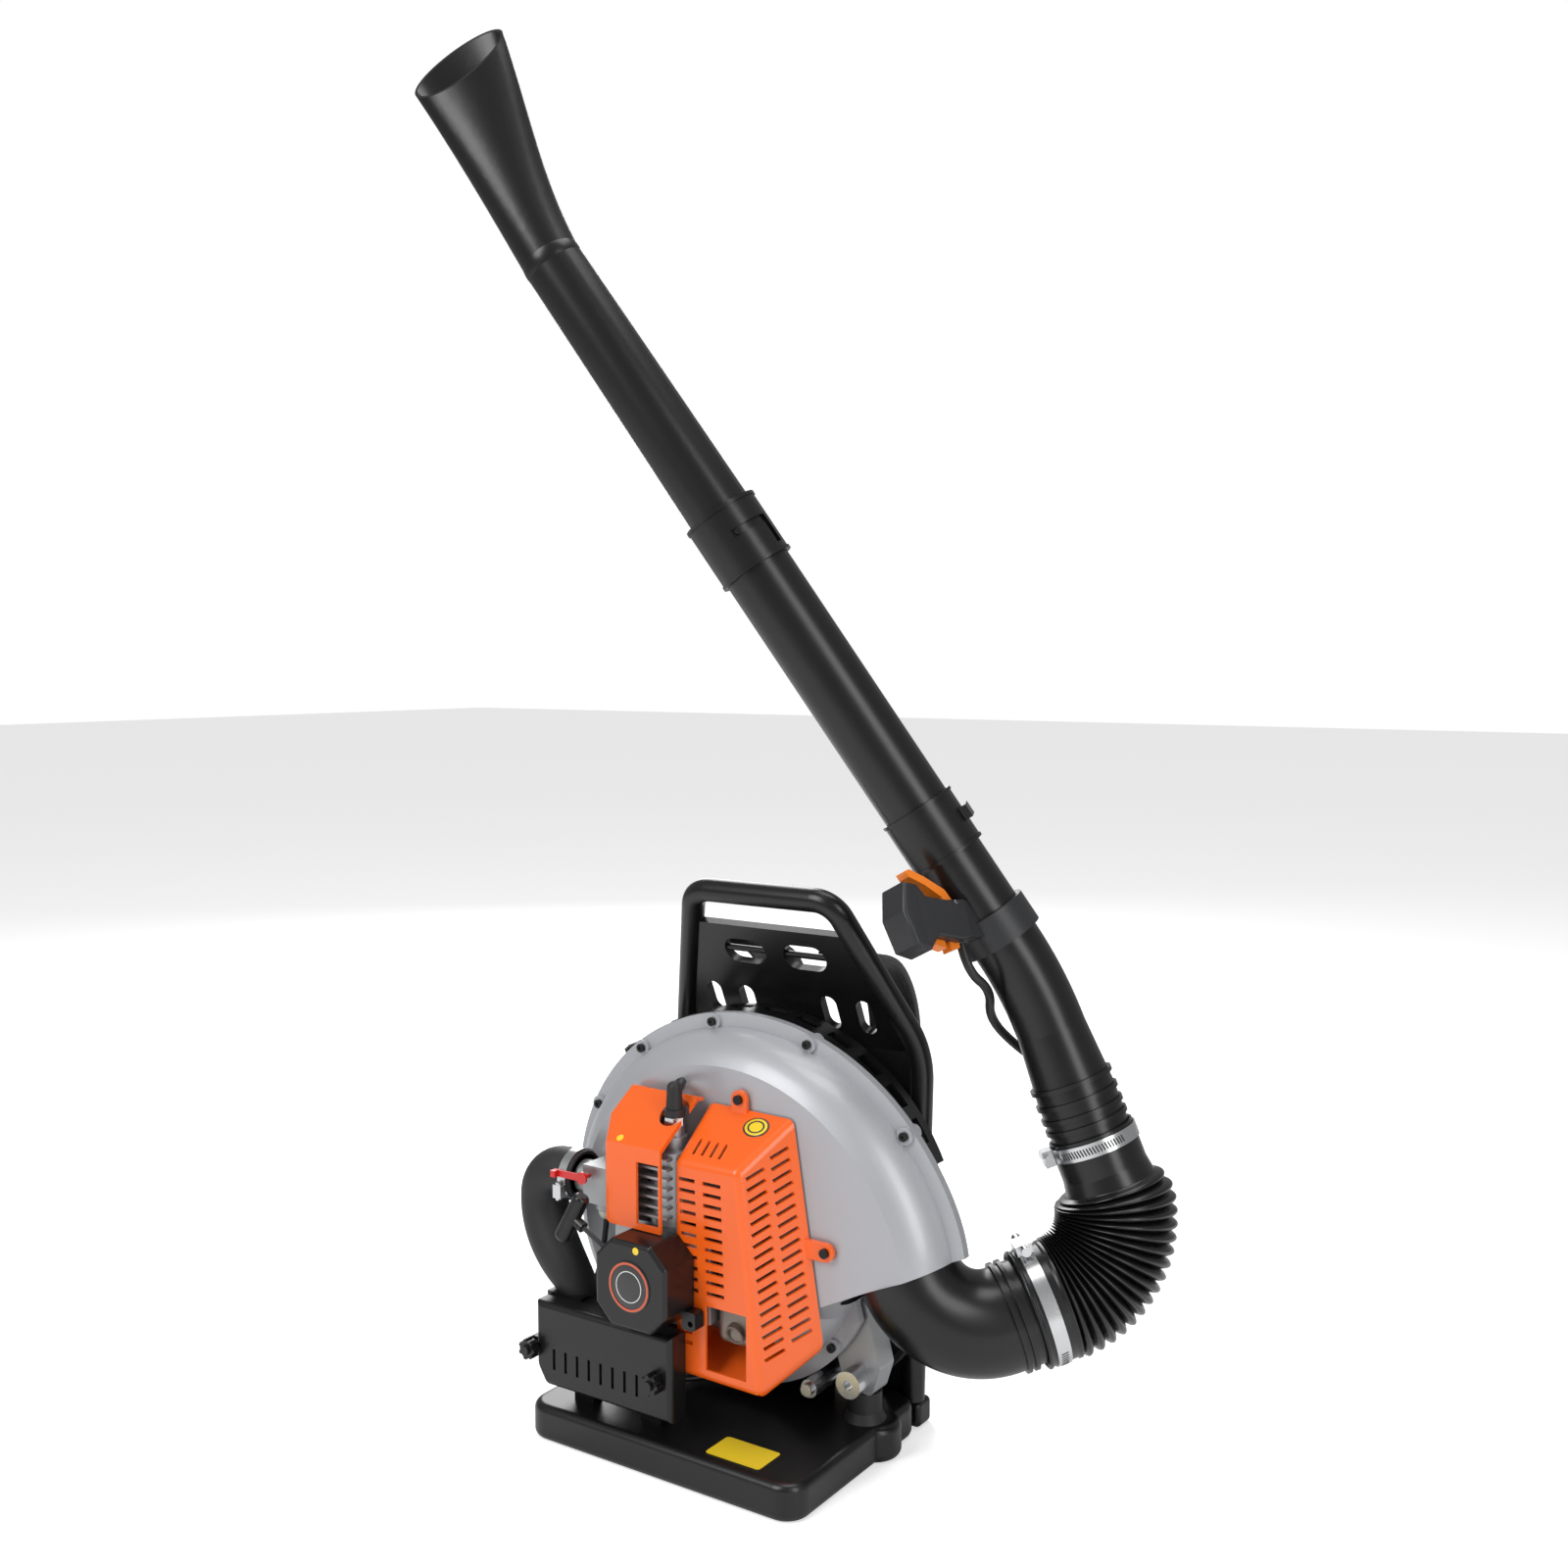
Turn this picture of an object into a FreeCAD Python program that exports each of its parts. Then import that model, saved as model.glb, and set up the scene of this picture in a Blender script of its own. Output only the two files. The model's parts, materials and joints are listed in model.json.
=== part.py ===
import FreeCAD, Part
import Sketcher
import math
import os
import re

from FreeCAD import Matrix, Placement, Rotation, Vector

# Backpack leaf blower, millimetres. Origin: centre of the base slab on the floor.
# +X is to the right seen from the engine side, +Y is towards the wearer, +Z is up.

DIMENSIONS = {
    "base_width": (290, "base slab, left to right"),
    "base_depth": (205, "base slab, front to back"),
    "base_height": (32, "base slab thickness"),
    "lobe_radius": (24, "rounded lobe under each rear mount"),
    "lobe_x": (131, "lobe centre from the middle"),
    "lobe_y": (42, "lobe centre behind the middle"),
    "frame_wall": (9, "back frame plate thickness"),
    "rail_radius": (11, "back frame rail and carry handle tube"),
    "rail_x": (132, "back frame rail centre from the middle"),
    "handle_x": (76, "carry handle corner from the middle"),
    "handle_z": (480, "carry handle centre height"),
    "fan_x": (-15, "crank and fan axis, left to right"),
    "fan_z": (168, "crank and fan axis height"),
    "split_y": (20, "plane where the volute halves meet"),
    "volute_radius": (197, "volute wall radius straight above the fan axis"),
    "volute_growth": (0.5, "volute wall radius growth in mm for each degree"),
    "duct_radius": (46, "radius of the rounded volute section and of its outlet"),
    "volute_half": (42, "depth of each volute half"),
    "volute_wall": (3, "volute wall"),
    "flange_width": (13, "volute flange outside the wall"),
    "flange_thick": (4, "flange thickness of each half"),
    "inlet_radius": (72, "fan inlet in the rear half"),
    "guard_radius": (203, "inlet guard radius"),
    "fan_radius": (92, "impeller radius"),
    "shaft_radius": (8, "crankshaft radius"),
    "engine_y": (-52, "cylinder axis, front to back"),
    "starter_face_y": (-115, "starter housing front face"),
    "starter_size": (38, "starter housing half width across flats"),
    "starter_depth": (39.5, "starter housing depth"),
    "filter_width": (152, "air filter box width"),
    "filter_height": (75, "air filter box height"),
    "filter_face_y": (-97, "air filter cover front face"),
    "filter_z": (48, "air filter box bottom"),
    "cover_wall": (2.5, "plastic cover wall"),
    "elbow_radius": (44, "elbow pipe outside radius"),
    "elbow_bend": (62, "elbow centre line radius"),
    "hose_radius": (52, "bellows outside radius"),
    "hose_bend": (74, "bellows centre line radius"),
    "pipe_radius": (30, "swivel tube and lower pipe outside radius"),
    "pipe_wall": (2.2, "pipe wall"),
    "socket_radius": (32.8, "bayonet socket outside radius"),
    "socket_gap": (0.3, "gap between a pipe and the socket over it"),
    "tip_radius": (26, "nozzle neck outside radius"),
    "cable_radius": (4, "throttle cable sleeve radius"),
    "lead_radius": (3.2, "ignition lead radius"),
    "screw_radius": (3.2, "cover screw head radius"),
    "running_gap": (0.06, "radial clearance of a running fit"),
    "body_gap": (0.5, "clearance between parts that move against each other"),
}

doc = FreeCAD.newDocument("backpack_blower")
sheet = doc.addObject("Spreadsheet::Sheet", "dims")
for row, (word, (value, meaning)) in enumerate(DIMENSIONS.items(), start=1):
    sheet.set(f"A{row}", word)
    sheet.set(f"B{row}", str(value))
    sheet.set(f"C{row}", meaning)
    sheet.setAlias(f"B{row}", word)
doc.recompute()

NODES = []
X = Vector(1, 0, 0)
Y = Vector(0, 1, 0)
Z = Vector(0, 0, 1)
ORIGIN = Vector(0, 0, 0)


# ---------------------------------------------------------------- helpers

def size(word):
    """Value of a spreadsheet cell, in mm."""
    return float(sheet.get(word))


def bind(obj, prop, value):
    """Set a property, or bind it to the sheet when the value is an expression."""
    if isinstance(value, str):
        obj.setExpression(prop, re.sub(r"[a-z]+_[a-z_]+", lambda m: "dims." + m.group(0), value))
    else:
        setattr(obj, prop, value)


def facing(z_axis, x_hint=X):
    """Rotation that takes local Z to z_axis and local X near x_hint."""
    z_axis = Vector(z_axis).normalize()
    return Rotation(Vector(x_hint), z_axis.cross(x_hint), z_axis, "ZXY")


def at(x, y, z, axis=Z, hint=X):
    """Placement with its origin at a point and local Z along axis."""
    return Placement(Vector(x, y, z), facing(axis, hint))


def primitive(kind, place, **sizes):
    obj = doc.addObject("Part::" + kind, "solid_" + kind.lower())
    for prop, value in sizes.items():
        bind(obj, prop, value)
    obj.Placement = place
    return obj


def cylinder(radius, height, place, **more):
    return primitive("Cylinder", place, Radius=radius, Height=height, **more)


def box(length, width, height, corner):
    return primitive("Box", Placement(Vector(*corner), Rotation()),
                     Length=length, Width=width, Height=height)


def feature(shape, place=None):
    """Part::Feature for a shape made with Part's own functions."""
    obj = doc.addObject("Part::Feature", "shape")
    obj.Shape = shape
    if place:
        obj.Placement = place
    return obj


def fuse(*shapes):
    if len(shapes) == 1:
        return shapes[0]
    obj = doc.addObject("Part::MultiFuse", "fuse")
    obj.Shapes = list(shapes)
    return obj


def group(*shapes):
    obj = doc.addObject("Part::Compound", "group")
    obj.Links = list(shapes)
    return obj


def cut(base, *tools):
    obj = doc.addObject("Part::Cut", "cut")
    obj.Base = base
    obj.Tool = fuse(*tools)
    return obj


def rounded(base, radius, pick):
    """Part::Fillet on the edges of base that pick(edge) accepts."""
    doc.recompute()
    obj = doc.addObject("Part::Fillet", "rounded")
    obj.Base = base
    obj.Edges = [(i + 1, radius, radius) for i, e in enumerate(base.Shape.Edges) if pick(e)]
    return obj


def largest(shape):
    """Biggest solid of a shape, without the slivers that a boolean leaves."""
    return max(shape.Solids, key=lambda solid: solid.Volume)


def along(axis):
    """Edge test: straight and parallel to axis."""
    def test(edge):
        if not isinstance(edge.Curve, Part.Line):
            return False
        return edge.Curve.Direction.cross(axis).Length < 1e-6
    return test


def node(name, obj):
    obj.Label = name
    NODES.append(obj)
    return obj


def ring(outer, inner, height, place):
    return cut(cylinder(outer, height, place), cylinder(inner, height, place))


def prism(points, axis, start, end):
    """Polygon on two coordinates, extruded along the third from start to end."""
    order = {"X": (1, 2, 0), "Y": (0, 2, 1), "Z": (0, 1, 2)}[axis]
    corners = []
    for a, b in points:
        spot = [0.0, 0.0, 0.0]
        spot[order[0]], spot[order[1]], spot[order[2]] = a, b, start
        corners.append(Vector(*spot))
    direction = {"X": X, "Y": Y, "Z": Z}[axis] * (end - start)
    return Part.Face(Part.makePolygon(corners + corners[:1])).extrude(direction)


def tube_along(path, radius, start_direction):
    """Solid of round section swept along a wire of lines and arcs."""
    first = path.OrderedVertexes[0].Point
    section = Part.Wire(Part.Circle(first, start_direction, radius).toShape())
    return path.makePipeShell([section], True, False)


def bend(start, d1, d2, radius):
    """Arc edge that leaves start along d1 and ends along d2, with its end point."""
    turn = d1.getAngle(d2)
    side = (d2 - d1 * d1.dot(d2)).normalize()

    def spot(angle):
        return start + (d1 * math.sin(angle) + side * (1 - math.cos(angle))) * radius
    end = spot(turn)
    return Part.Arc(start, spot(turn / 2), end).toShape(), end


def cord_tube(name, points, radius):
    """Round tube along straight runs joined by tangent arcs; prints its radii."""
    points = [Vector(*p) for p in points]
    runs = [points[i + 1] - points[i] for i in range(len(points) - 1)]
    edges, radii, here = [], [], points[0]
    length = 0.0
    for i in range(1, len(points) - 1):
        before, after = runs[i - 1], runs[i]
        half = before.getAngle(after) / 2
        reach = 0.45 * min(before.Length, after.Length)
        radii.append(round(reach / math.tan(half), 1))
        d1, d2 = Vector(before).normalize(), Vector(after).normalize()
        a = points[i] - d1 * reach
        edges.append(Part.LineSegment(here, a).toShape())
        arc, here = bend(a, d1, d2, reach / math.tan(half))
        edges.append(arc)
        length += edges[-2].Length + arc.Length
    edges.append(Part.LineSegment(here, points[-1]).toShape())
    length += edges[-1].Length
    shape = tube_along(Part.Wire(edges), radius, Vector(runs[0]).normalize())
    expected = math.pi * radius ** 2 * length
    if abs(shape.Volume - expected) > 0.01 * expected:
        raise RuntimeError(f"{name}: volume {shape.Volume:.0f}, expected {expected:.0f}")
    print(name, "length", round(length, 1), "bend radii", radii)
    return feature(shape)


# ---------------------------------------------------------------- base

slab = box("base_width", "base_depth", "base_height", (-145, -105, 0))
slab.setExpression("Placement.Base.x", "-dims.base_width / 2")
slab = rounded(slab, 22, along(Z))
lobes = [cylinder("lobe_radius", "base_height", at(side * size("lobe_x"), size("lobe_y"), 0))
         for side in (-1, 1)]
slab = fuse(slab, *lobes)
slab = rounded(slab, 7, lambda e: abs(e.BoundBox.ZMax - e.BoundBox.ZMin) < 1e-6)
POCKET = 82
pockets = []
for column in range(3):
    for line in range(2):
        pockets.append(box(POCKET, POCKET, 27, (-129 + column * 88, -90 + line * 94, -1)))
node("base", cut(slab, *pockets))

# blank rating plate on the base top, front right
base_label = box(56, 34, 0.4, (46, -93, size("base_height")))


# ---------------------------------------------------------------- back frame

RAIL_X = size("rail_x")
HANDLE_X = size("handle_x")
HANDLE_Z = size("handle_z")
FOOT_Y, SHOULDER_Y, HANDLE_Y = 108.0, 122.0, 58.0
FOOT_Z, SHOULDER_Z = 24.0, 340.0
R_RAIL = size("rail_radius")

rail_points = [Vector(-RAIL_X, FOOT_Y, FOOT_Z), Vector(-RAIL_X, SHOULDER_Y, SHOULDER_Z),
               Vector(-HANDLE_X, HANDLE_Y, HANDLE_Z), Vector(HANDLE_X, HANDLE_Y, HANDLE_Z),
               Vector(RAIL_X, SHOULDER_Y, SHOULDER_Z), Vector(RAIL_X, FOOT_Y, FOOT_Z)]
rail_bends = [90.0, 26.0, 26.0, 90.0]
edges = []
here = rail_points[0]
for i, radius in enumerate(rail_bends, start=1):
    d1 = (rail_points[i] - rail_points[i - 1]).normalize()
    d2 = (rail_points[i + 1] - rail_points[i]).normalize()
    start = rail_points[i] - d1 * radius * math.tan(d1.getAngle(d2) / 2)
    edges.append(Part.LineSegment(here, start).toShape())
    arc, here = bend(start, d1, d2, radius)
    edges.append(arc)
edges.append(Part.LineSegment(here, rail_points[-1]).toShape())
rail = tube_along(Part.Wire(edges), R_RAIL, (rail_points[1] - rail_points[0]).normalize())


def panel(outline, origin, up):
    """Plate in the plane through origin that holds X and up, centred on that plane."""
    wall = size("frame_wall")
    up = Vector(up).normalize()
    out = X.cross(up)
    corners = [origin + X * a + up * b - out * wall / 2 for a, b in outline]
    return Part.Face(Part.makePolygon(corners + corners[:1])).extrude(out * wall)


def slot(width, height, x, up_distance, origin, up):
    """Rounded slot cutter through a panel."""
    up = Vector(up).normalize()
    out = X.cross(up)
    centre = origin + X * x + up * up_distance
    r = min(width, height) / 2
    run = X * (width / 2 - r) + up * (height / 2 - r)
    pieces = [Part.makeCylinder(r, 60, centre + run * s - out * 30, out) for s in (-1, 1)]
    a, b = (width / 2 - r, r) if width > height else (r, height / 2 - r)
    corners = [centre + X * (a * p) + up * (b * q) - out * 30
               for p, q in ((-1, -1), (1, -1), (1, 1), (-1, 1))]
    pieces.append(Part.Face(Part.makePolygon(corners + corners[:1])).extrude(out * 60))
    return pieces[0].multiFuse(pieces[1:])


foot = Vector(0, FOOT_Y, FOOT_Z)
shoulder = Vector(0, SHOULDER_Y, SHOULDER_Z)
low_up = shoulder - foot
top_up = Vector(0, HANDLE_Y - SHOULDER_Y, HANDLE_Z - SHOULDER_Z)
LOW_LENGTH = low_up.Length
TOP_LENGTH = top_up.Length
lower_panel = panel([(-RAIL_X, -14), (RAIL_X, -14), (RAIL_X, LOW_LENGTH), (-RAIL_X, LOW_LENGTH)],
                    foot, low_up)
HAND_GAP = 34.0
narrow = RAIL_X + (HANDLE_X - RAIL_X) * (TOP_LENGTH - HAND_GAP) / TOP_LENGTH
upper_panel = panel([(-RAIL_X, -6), (RAIL_X, -6), (RAIL_X, 4), (narrow, TOP_LENGTH - HAND_GAP),
                     (-narrow, TOP_LENGTH - HAND_GAP), (-RAIL_X, 4)], shoulder, top_up)
slots = [slot(17, 36, x, 34, shoulder, top_up) for x in (-84, -46, 46, 84)]
slots += [slot(46, 26, x, 92, shoulder, top_up) for x in (-33, 33)]
slots += [slot(44, 10, x, 30, foot, low_up) for x in (-82, 82)]
window = slot(118, 92, 0, 165, foot, low_up)
frame_shape = rail.multiFuse([lower_panel, upper_panel]).cut(slots + [window])
toe = Part.makeBox(2 * RAIL_X + 22, 24, 24, Vector(-RAIL_X - 11, 100.4, 0))
# strap bars across the two upper slots
bar_up = Vector(top_up).normalize()
bars = [Part.makeCylinder(3, 52, shoulder + bar_up * 92 + X * (x - 26), X) for x in (-33, 33)]
toe = toe.makeFillet(5, toe.Edges)
node("back_frame", feature(frame_shape.multiFuse([toe] + bars).removeSplitter()))


# ---------------------------------------------------------------- harness (soft)

PAD_GAP = size("frame_wall") / 2 + 0.5
PAD_BOTTOM, PAD_TALL, PAD_HALF = 92.0, 212.0, 104.0
low_dir = Vector(low_up).normalize()
low_out = X.cross(low_dir) * -1
cushion = prism([(-PAD_HALF, 0), (PAD_HALF, 0), (PAD_HALF, PAD_TALL), (-PAD_HALF, PAD_TALL)], "Z", 0, 24)
cushion = cushion.makeFillet(24, [e for e in cushion.Edges if along(Z)(e)])
cushion = cushion.makeFillet(8, [e for e in cushion.Edges if abs(e.BoundBox.ZLength) < 1e-6])
pad_place = Placement(foot + low_dir * PAD_BOTTOM + low_out * PAD_GAP,
                      Rotation(X * -1, low_dir, low_out, "ZXY"))
node("back_pad", feature(cushion, pad_place))


def strap_profile(thick):
    """Side outline of a shoulder strap: over the shoulder and back to the hip."""
    outer = [Vector(0, 100, 432), Vector(0, 176, 402), Vector(0, 206, 290), Vector(0, 186, 150),
             Vector(0, 132, 64)]
    line = Part.BSplineCurve()
    line.interpolate(outer)
    inner = [p + Vector(0, -0.82, -0.57) * thick for p in outer[:2]]
    inner += [outer[2] - Y * thick, outer[3] - Y * thick, outer[4] + Vector(0, -0.75, 0.66) * thick]
    back = Part.BSplineCurve()
    back.interpolate(inner)
    edges = [line.toShape(), Part.LineSegment(outer[-1], inner[-1]).toShape(), back.toShape(),
             Part.LineSegment(inner[0], outer[0]).toShape()]
    return Part.Face(Part.Wire(Part.__sortEdges__(edges)))


STRAP_WIDTH = 54.0
for label, x in (("left", -60), ("right", 60)):
    strap = strap_profile(11).extrude(X * STRAP_WIDTH)
    strap.translate(X * (x - STRAP_WIDTH / 2))
    node(f"shoulder_strap_{label}", feature(strap))


# ---------------------------------------------------------------- volute

FAN_X, FAN_Z = size("fan_x"), size("fan_z")
SPLIT_Y = size("split_y")
DUCT_R = size("duct_radius")
HALF = size("volute_half")
OUTLET_INNER = Vector(136, SPLIT_Y, 160)
OUTLET_OUTER = Vector(220, SPLIT_Y, 197.5)
ACROSS = Vector(OUTLET_INNER - OUTLET_OUTER).normalize()
FLOW = Vector(-ACROSS.z, 0, ACROSS.x)
FLOW = FLOW if FLOW.z < 0 else FLOW * -1


def volute_radius(angle):
    """Wall radius at an angle in degrees, counted from +X towards +Z."""
    if angle <= 270:
        return size("volute_radius") + size("volute_growth") * (90 - angle)
    return volute_radius(270) + (angle - 270) * 0.44


def volute_wire(inset, y, past_outlet=0.0):
    """Closed outline of the volute, moved inwards by inset, at depth y."""
    points = []
    for angle in range(14, 345, 11):
        r = volute_radius(angle) - inset
        a = math.radians(angle)
        points.append(Vector(FAN_X + r * math.cos(a), y, FAN_Z + r * math.sin(a)))
    push = FLOW * past_outlet
    outer = OUTLET_OUTER + ACROSS * inset + push
    inner = OUTLET_INNER - ACROSS * inset + push
    outer.y = inner.y = y
    curve = Part.BSplineCurve()
    curve.interpolate([outer] + points)
    return Part.Wire([curve.toShape(), Part.LineSegment(points[-1], inner).toShape(),
                      Part.LineSegment(inner, outer).toShape()])


def volute_body(radius, depth, direction, past_outlet=0.0):
    """Half of the volute: outlines that close in along a quarter circle."""
    wires = []
    steps = 6
    for i in range(steps + 1):
        out = depth * math.sin(math.pi / 2 * i / steps)
        inset = DUCT_R - math.sqrt(max(radius ** 2 - out ** 2, 0))
        wires.append(volute_wire(inset, SPLIT_Y + direction * out, past_outlet))
    return Part.makeLoft(wires, True, False)


def volute_half(direction):
    wall = size("volute_wall")
    thick = size("flange_thick")
    outer = volute_body(DUCT_R, HALF, direction)
    inner = volute_body(DUCT_R - wall, HALF - wall, direction, past_outlet=2.0)
    rim = Part.Face(volute_wire(-size("flange_width"), SPLIT_Y)).extrude(Y * direction * thick)
    return outer.fuse(rim).cut(inner)


SCREW_ANGLES = (143, 118, 92, 64, 34, 176, 212, 248, 292, 330)


def flange_spot(angle, extra, y):
    a = math.radians(angle)
    r = volute_radius(angle) + extra
    return Vector(FAN_X + r * math.cos(a), y, FAN_Z + r * math.sin(a))


SLEEVE_X, SLEEVE_Z = 124.0, 71.0
SLEEVE_R = 12.0
screw_spots = [flange_spot(angle, 5.5, 0) for angle in SCREW_ANGLES]
screw_spots.append(Vector(209, 0, 197))
front_bosses = [Part.makeCylinder(7.5, 7, Vector(p.x, SPLIT_Y - 7, p.z), Y) for p in screw_spots]
rear_bosses = [Part.makeCylinder(7, 10, Vector(p.x, SPLIT_Y, p.z), Y) for p in screw_spots]
shaft_hole = Part.makeCylinder(20, 30, Vector(FAN_X, SPLIT_Y - HALF - 10, FAN_Z), Y)
inlet = Part.makeCylinder(size("inlet_radius"), 30, Vector(FAN_X, SPLIT_Y + 30, FAN_Z), Y)
inner_rooms = {d: volute_body(DUCT_R - size("volute_wall"), HALF - size("volute_wall"), d, 2.0)
               for d in (-1, 1)}
bores = [Part.makeCylinder(2.2, 30, Vector(p.x, SPLIT_Y - 8, p.z), Y) for p in screw_spots]
bores.append(Part.makeCylinder(SLEEVE_R + 0.6, 80, Vector(-SLEEVE_X, 0, SLEEVE_Z), Y))
front = volute_half(-1).multiFuse(front_bosses).cut([shaft_hole, inner_rooms[-1]] + bores)
rear = volute_half(1).multiFuse(rear_bosses).cut([inlet, inner_rooms[1]] + bores)
node("volute_front", feature(largest(front)))
node("volute_rear", feature(largest(rear)))

volute_screws = []
for p in screw_spots:
    head = cylinder("screw_radius + 0.8", 3, at(p.x, SPLIT_Y - 7, p.z, Y * -1, X))
    socket = primitive("Prism", at(p.x, SPLIT_Y - 11, p.z, Y, X), Polygon=6, Circumradius=1.7, Height=2.2)
    shank = cylinder(2.2, 16, at(p.x, SPLIT_Y - 7, p.z, Y, X))
    volute_screws.append(cut(fuse(head, shank), socket))

# inlet guard: slotted band that closes the gap between the volute and the back frame
GUARD_R = size("guard_radius")
GUARD_DEEP, GUARD_WALL, GUARD_FROM, GUARD_SWEEP = 42.0, 3.0, 25.0, 90.0
guard_place = Placement(Vector(FAN_X, SPLIT_Y + HALF + 34, FAN_Z), facing(Y * -1, X)).multiply(
    Placement(ORIGIN, Rotation(Z, GUARD_FROM)))
band = Part.makeCylinder(GUARD_R, GUARD_DEEP, ORIGIN, Z, GUARD_SWEEP)
band = band.cut(Part.makeCylinder(GUARD_R - GUARD_WALL, GUARD_DEEP, ORIGIN, Z))
meshes = []
for step in range(8):
    mesh_hole = Part.makeBox(20, 24, 12, Vector(GUARD_R - 10, -12, 10))
    mesh_hole.Placement = Placement(ORIGIN, Rotation(Z, 9 + 10.3 * step))
    meshes.append(mesh_hole)
guard = band.cut(meshes)
guard.Placement = guard_place
guard = guard.cut(volute_body(DUCT_R + 0.2, HALF + 0.2, 1))
node("inlet_guard", feature(largest(guard)))


# ---------------------------------------------------------------- rotating group

def closed_sketch(body, name, points, offset=0.0, role="XY_Plane"):
    """Closed polygon sketch on one of the body's origin planes."""
    sketch = body.newObject("Sketcher::SketchObject", name)
    plane = [f for f in body.Origin.OriginFeatures if f.Role == role][0]
    sketch.AttachmentSupport = [(plane, "")]
    sketch.MapMode = "FlatFace"
    sketch.AttachmentOffset = Placement(Vector(0, 0, offset), Rotation())
    for i, (a, b) in enumerate(points):
        c, d = points[(i + 1) % len(points)]
        sketch.addGeometry(Part.LineSegment(Vector(a, b, 0), Vector(c, d, 0)), False)
    for i in range(len(points)):
        sketch.addConstraint(Sketcher.Constraint("Coincident", i, 2, (i + 1) % len(points), 1))
    return sketch


def circle_sketch(body, name, radius, offset=0.0):
    """Circle on the XY plane whose radius is bound to the sheet."""
    sketch = body.newObject("Sketcher::SketchObject", name)
    plane = [f for f in body.Origin.OriginFeatures if f.Role == "XY_Plane"][0]
    sketch.AttachmentSupport = [(plane, "")]
    sketch.MapMode = "FlatFace"
    sketch.AttachmentOffset = Placement(Vector(0, 0, offset), Rotation())
    sketch.addGeometry(Part.Circle(ORIGIN, Z, 10), False)
    sketch.addConstraint(Sketcher.Constraint("Coincident", 0, 3, -1, 1))
    sketch.addConstraint(Sketcher.Constraint("Radius", 0, 10))
    sketch.renameConstraint(1, "radius")
    bind(sketch, "Constraints.radius", str(radius))
    return sketch


def raised(body, sketch, length, kind="PartDesign::Pad"):
    result = body.newObject(kind, "pad")
    result.Profile = sketch
    bind(result, "Length", length)
    return result


def polar(body, original, count):
    pattern = body.newObject("PartDesign::PolarPattern", "pattern")
    pattern.Originals = [original]
    pattern.Axis = (body.Origin.OriginFeatures[2], [""])
    pattern.Angle = 360
    pattern.Occurrences = count
    body.Tip = pattern
    return pattern


def disc_with_spokes(name, disc_radius, disc_thick, spoke, spoke_height, count, hub_radius, hub_height):
    """Disc with a hub and a ring of equal raised shapes, axis along local Z."""
    body = doc.addObject("PartDesign::Body", name)
    raised(body, circle_sketch(body, "disc", disc_radius), disc_thick)
    raised(body, circle_sketch(body, "hub", hub_radius), hub_height)
    first = raised(body, closed_sketch(body, "spoke", spoke), spoke_height)
    polar(body, first, count)
    return body


def bored(body, radius, length, place):
    return cut(body, cylinder(radius, length, place))


BLADE = [(26, -2), (40, 2), (62, 12), (86, 27), (85, 30), (60, 15.5), (38, 5.5), (26, 2)]
impeller = disc_with_spokes("impeller", "fan_radius", 3, BLADE, 44, 12, 26, 30)
impeller.Placement = at(FAN_X, 2, FAN_Z, Y, X)
node("fan", bored(impeller, "shaft_radius", 80, at(FAN_X, -10, FAN_Z, Y, X)))

MAGNET = [(20, -7), (31, -9), (31, 9), (20, 7)]
wheel = disc_with_spokes("wheel", 32, 4, MAGNET, 9, 3, 14, 7)
wheel.Placement = at(FAN_X, -88, FAN_Z, Y * -1, X)
node("flywheel", bored(wheel, "shaft_radius", 60, at(FAN_X, -110, FAN_Z, Y, X)))

ENGINE_Y = size("engine_y")
crank = fuse(cylinder("shaft_radius", 95 + ENGINE_Y, at(FAN_X, -100, FAN_Z, Y, X)),
             cylinder("shaft_radius", 27 - ENGINE_Y, at(FAN_X, ENGINE_Y + 5, FAN_Z, Y, X)),
             cylinder(22, 8, at(FAN_X, ENGINE_Y - 13, FAN_Z, Y, X)),
             cylinder(22, 8, at(FAN_X, ENGINE_Y + 5, FAN_Z, Y, X)),
             cylinder(6, 12, at(FAN_X, ENGINE_Y - 6, FAN_Z + 14, Y, X)))
node("crankshaft", crank)


# ---------------------------------------------------------------- engine

case_points = [(-52, -36), (-36, -44.5), (36, -44.5), (52, -36), (52, 30), (38, 40), (-38, 40), (-52, 30)]
case_points = [(FAN_X + a, FAN_Z + b) for a, b in case_points]
case = fuse(feature(prism(case_points, "Y", SPLIT_Y - HALF - 2, -70.5)),
            cylinder(13, 14, at(FAN_X, -84, FAN_Z, Y, X)))
crank_bore = cylinder("shaft_radius + running_gap", 120, at(FAN_X, -100, FAN_Z, Y, X))
crank_room = cylinder(26, 30, at(FAN_X, ENGINE_Y - 15, FAN_Z, Y, X))
rod_room = box(26, 22, 60, (FAN_X - 13, ENGINE_Y - 11, FAN_Z))
node("crankcase", cut(case, crank_bore, crank_room, rod_room))

CYL_Z = FAN_Z + 40
BORE_R, BARREL_R, HEAD_Z = 16.5, 21.0, CYL_Z + 64
FIN_LEFT, FIN_RIGHT = FAN_X - 33, -3.5
barrel = [cylinder(BARREL_R, 64, at(FAN_X, ENGINE_Y, CYL_Z)),
          cylinder(11, 11, at(FAN_X, ENGINE_Y, HEAD_Z)),
          cylinder(8.5, 20, at(FAN_X, ENGINE_Y, HEAD_Z))]
for step in range(7):
    barrel.append(box(FIN_RIGHT - FIN_LEFT, 52, 2.2, (FIN_LEFT, ENGINE_Y - 26, CYL_Z + 8 + step * 8.4)))
barrel.append(box(30, 34, 30, (FAN_X - 48, ENGINE_Y - 17, CYL_Z + 6)))
barrel.append(box(26, 30, 26, (FAN_X + 14, ENGINE_Y - 15, CYL_Z + 7)))
bore = cylinder(BORE_R, 61, at(FAN_X, ENGINE_Y, CYL_Z - 1))
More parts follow.
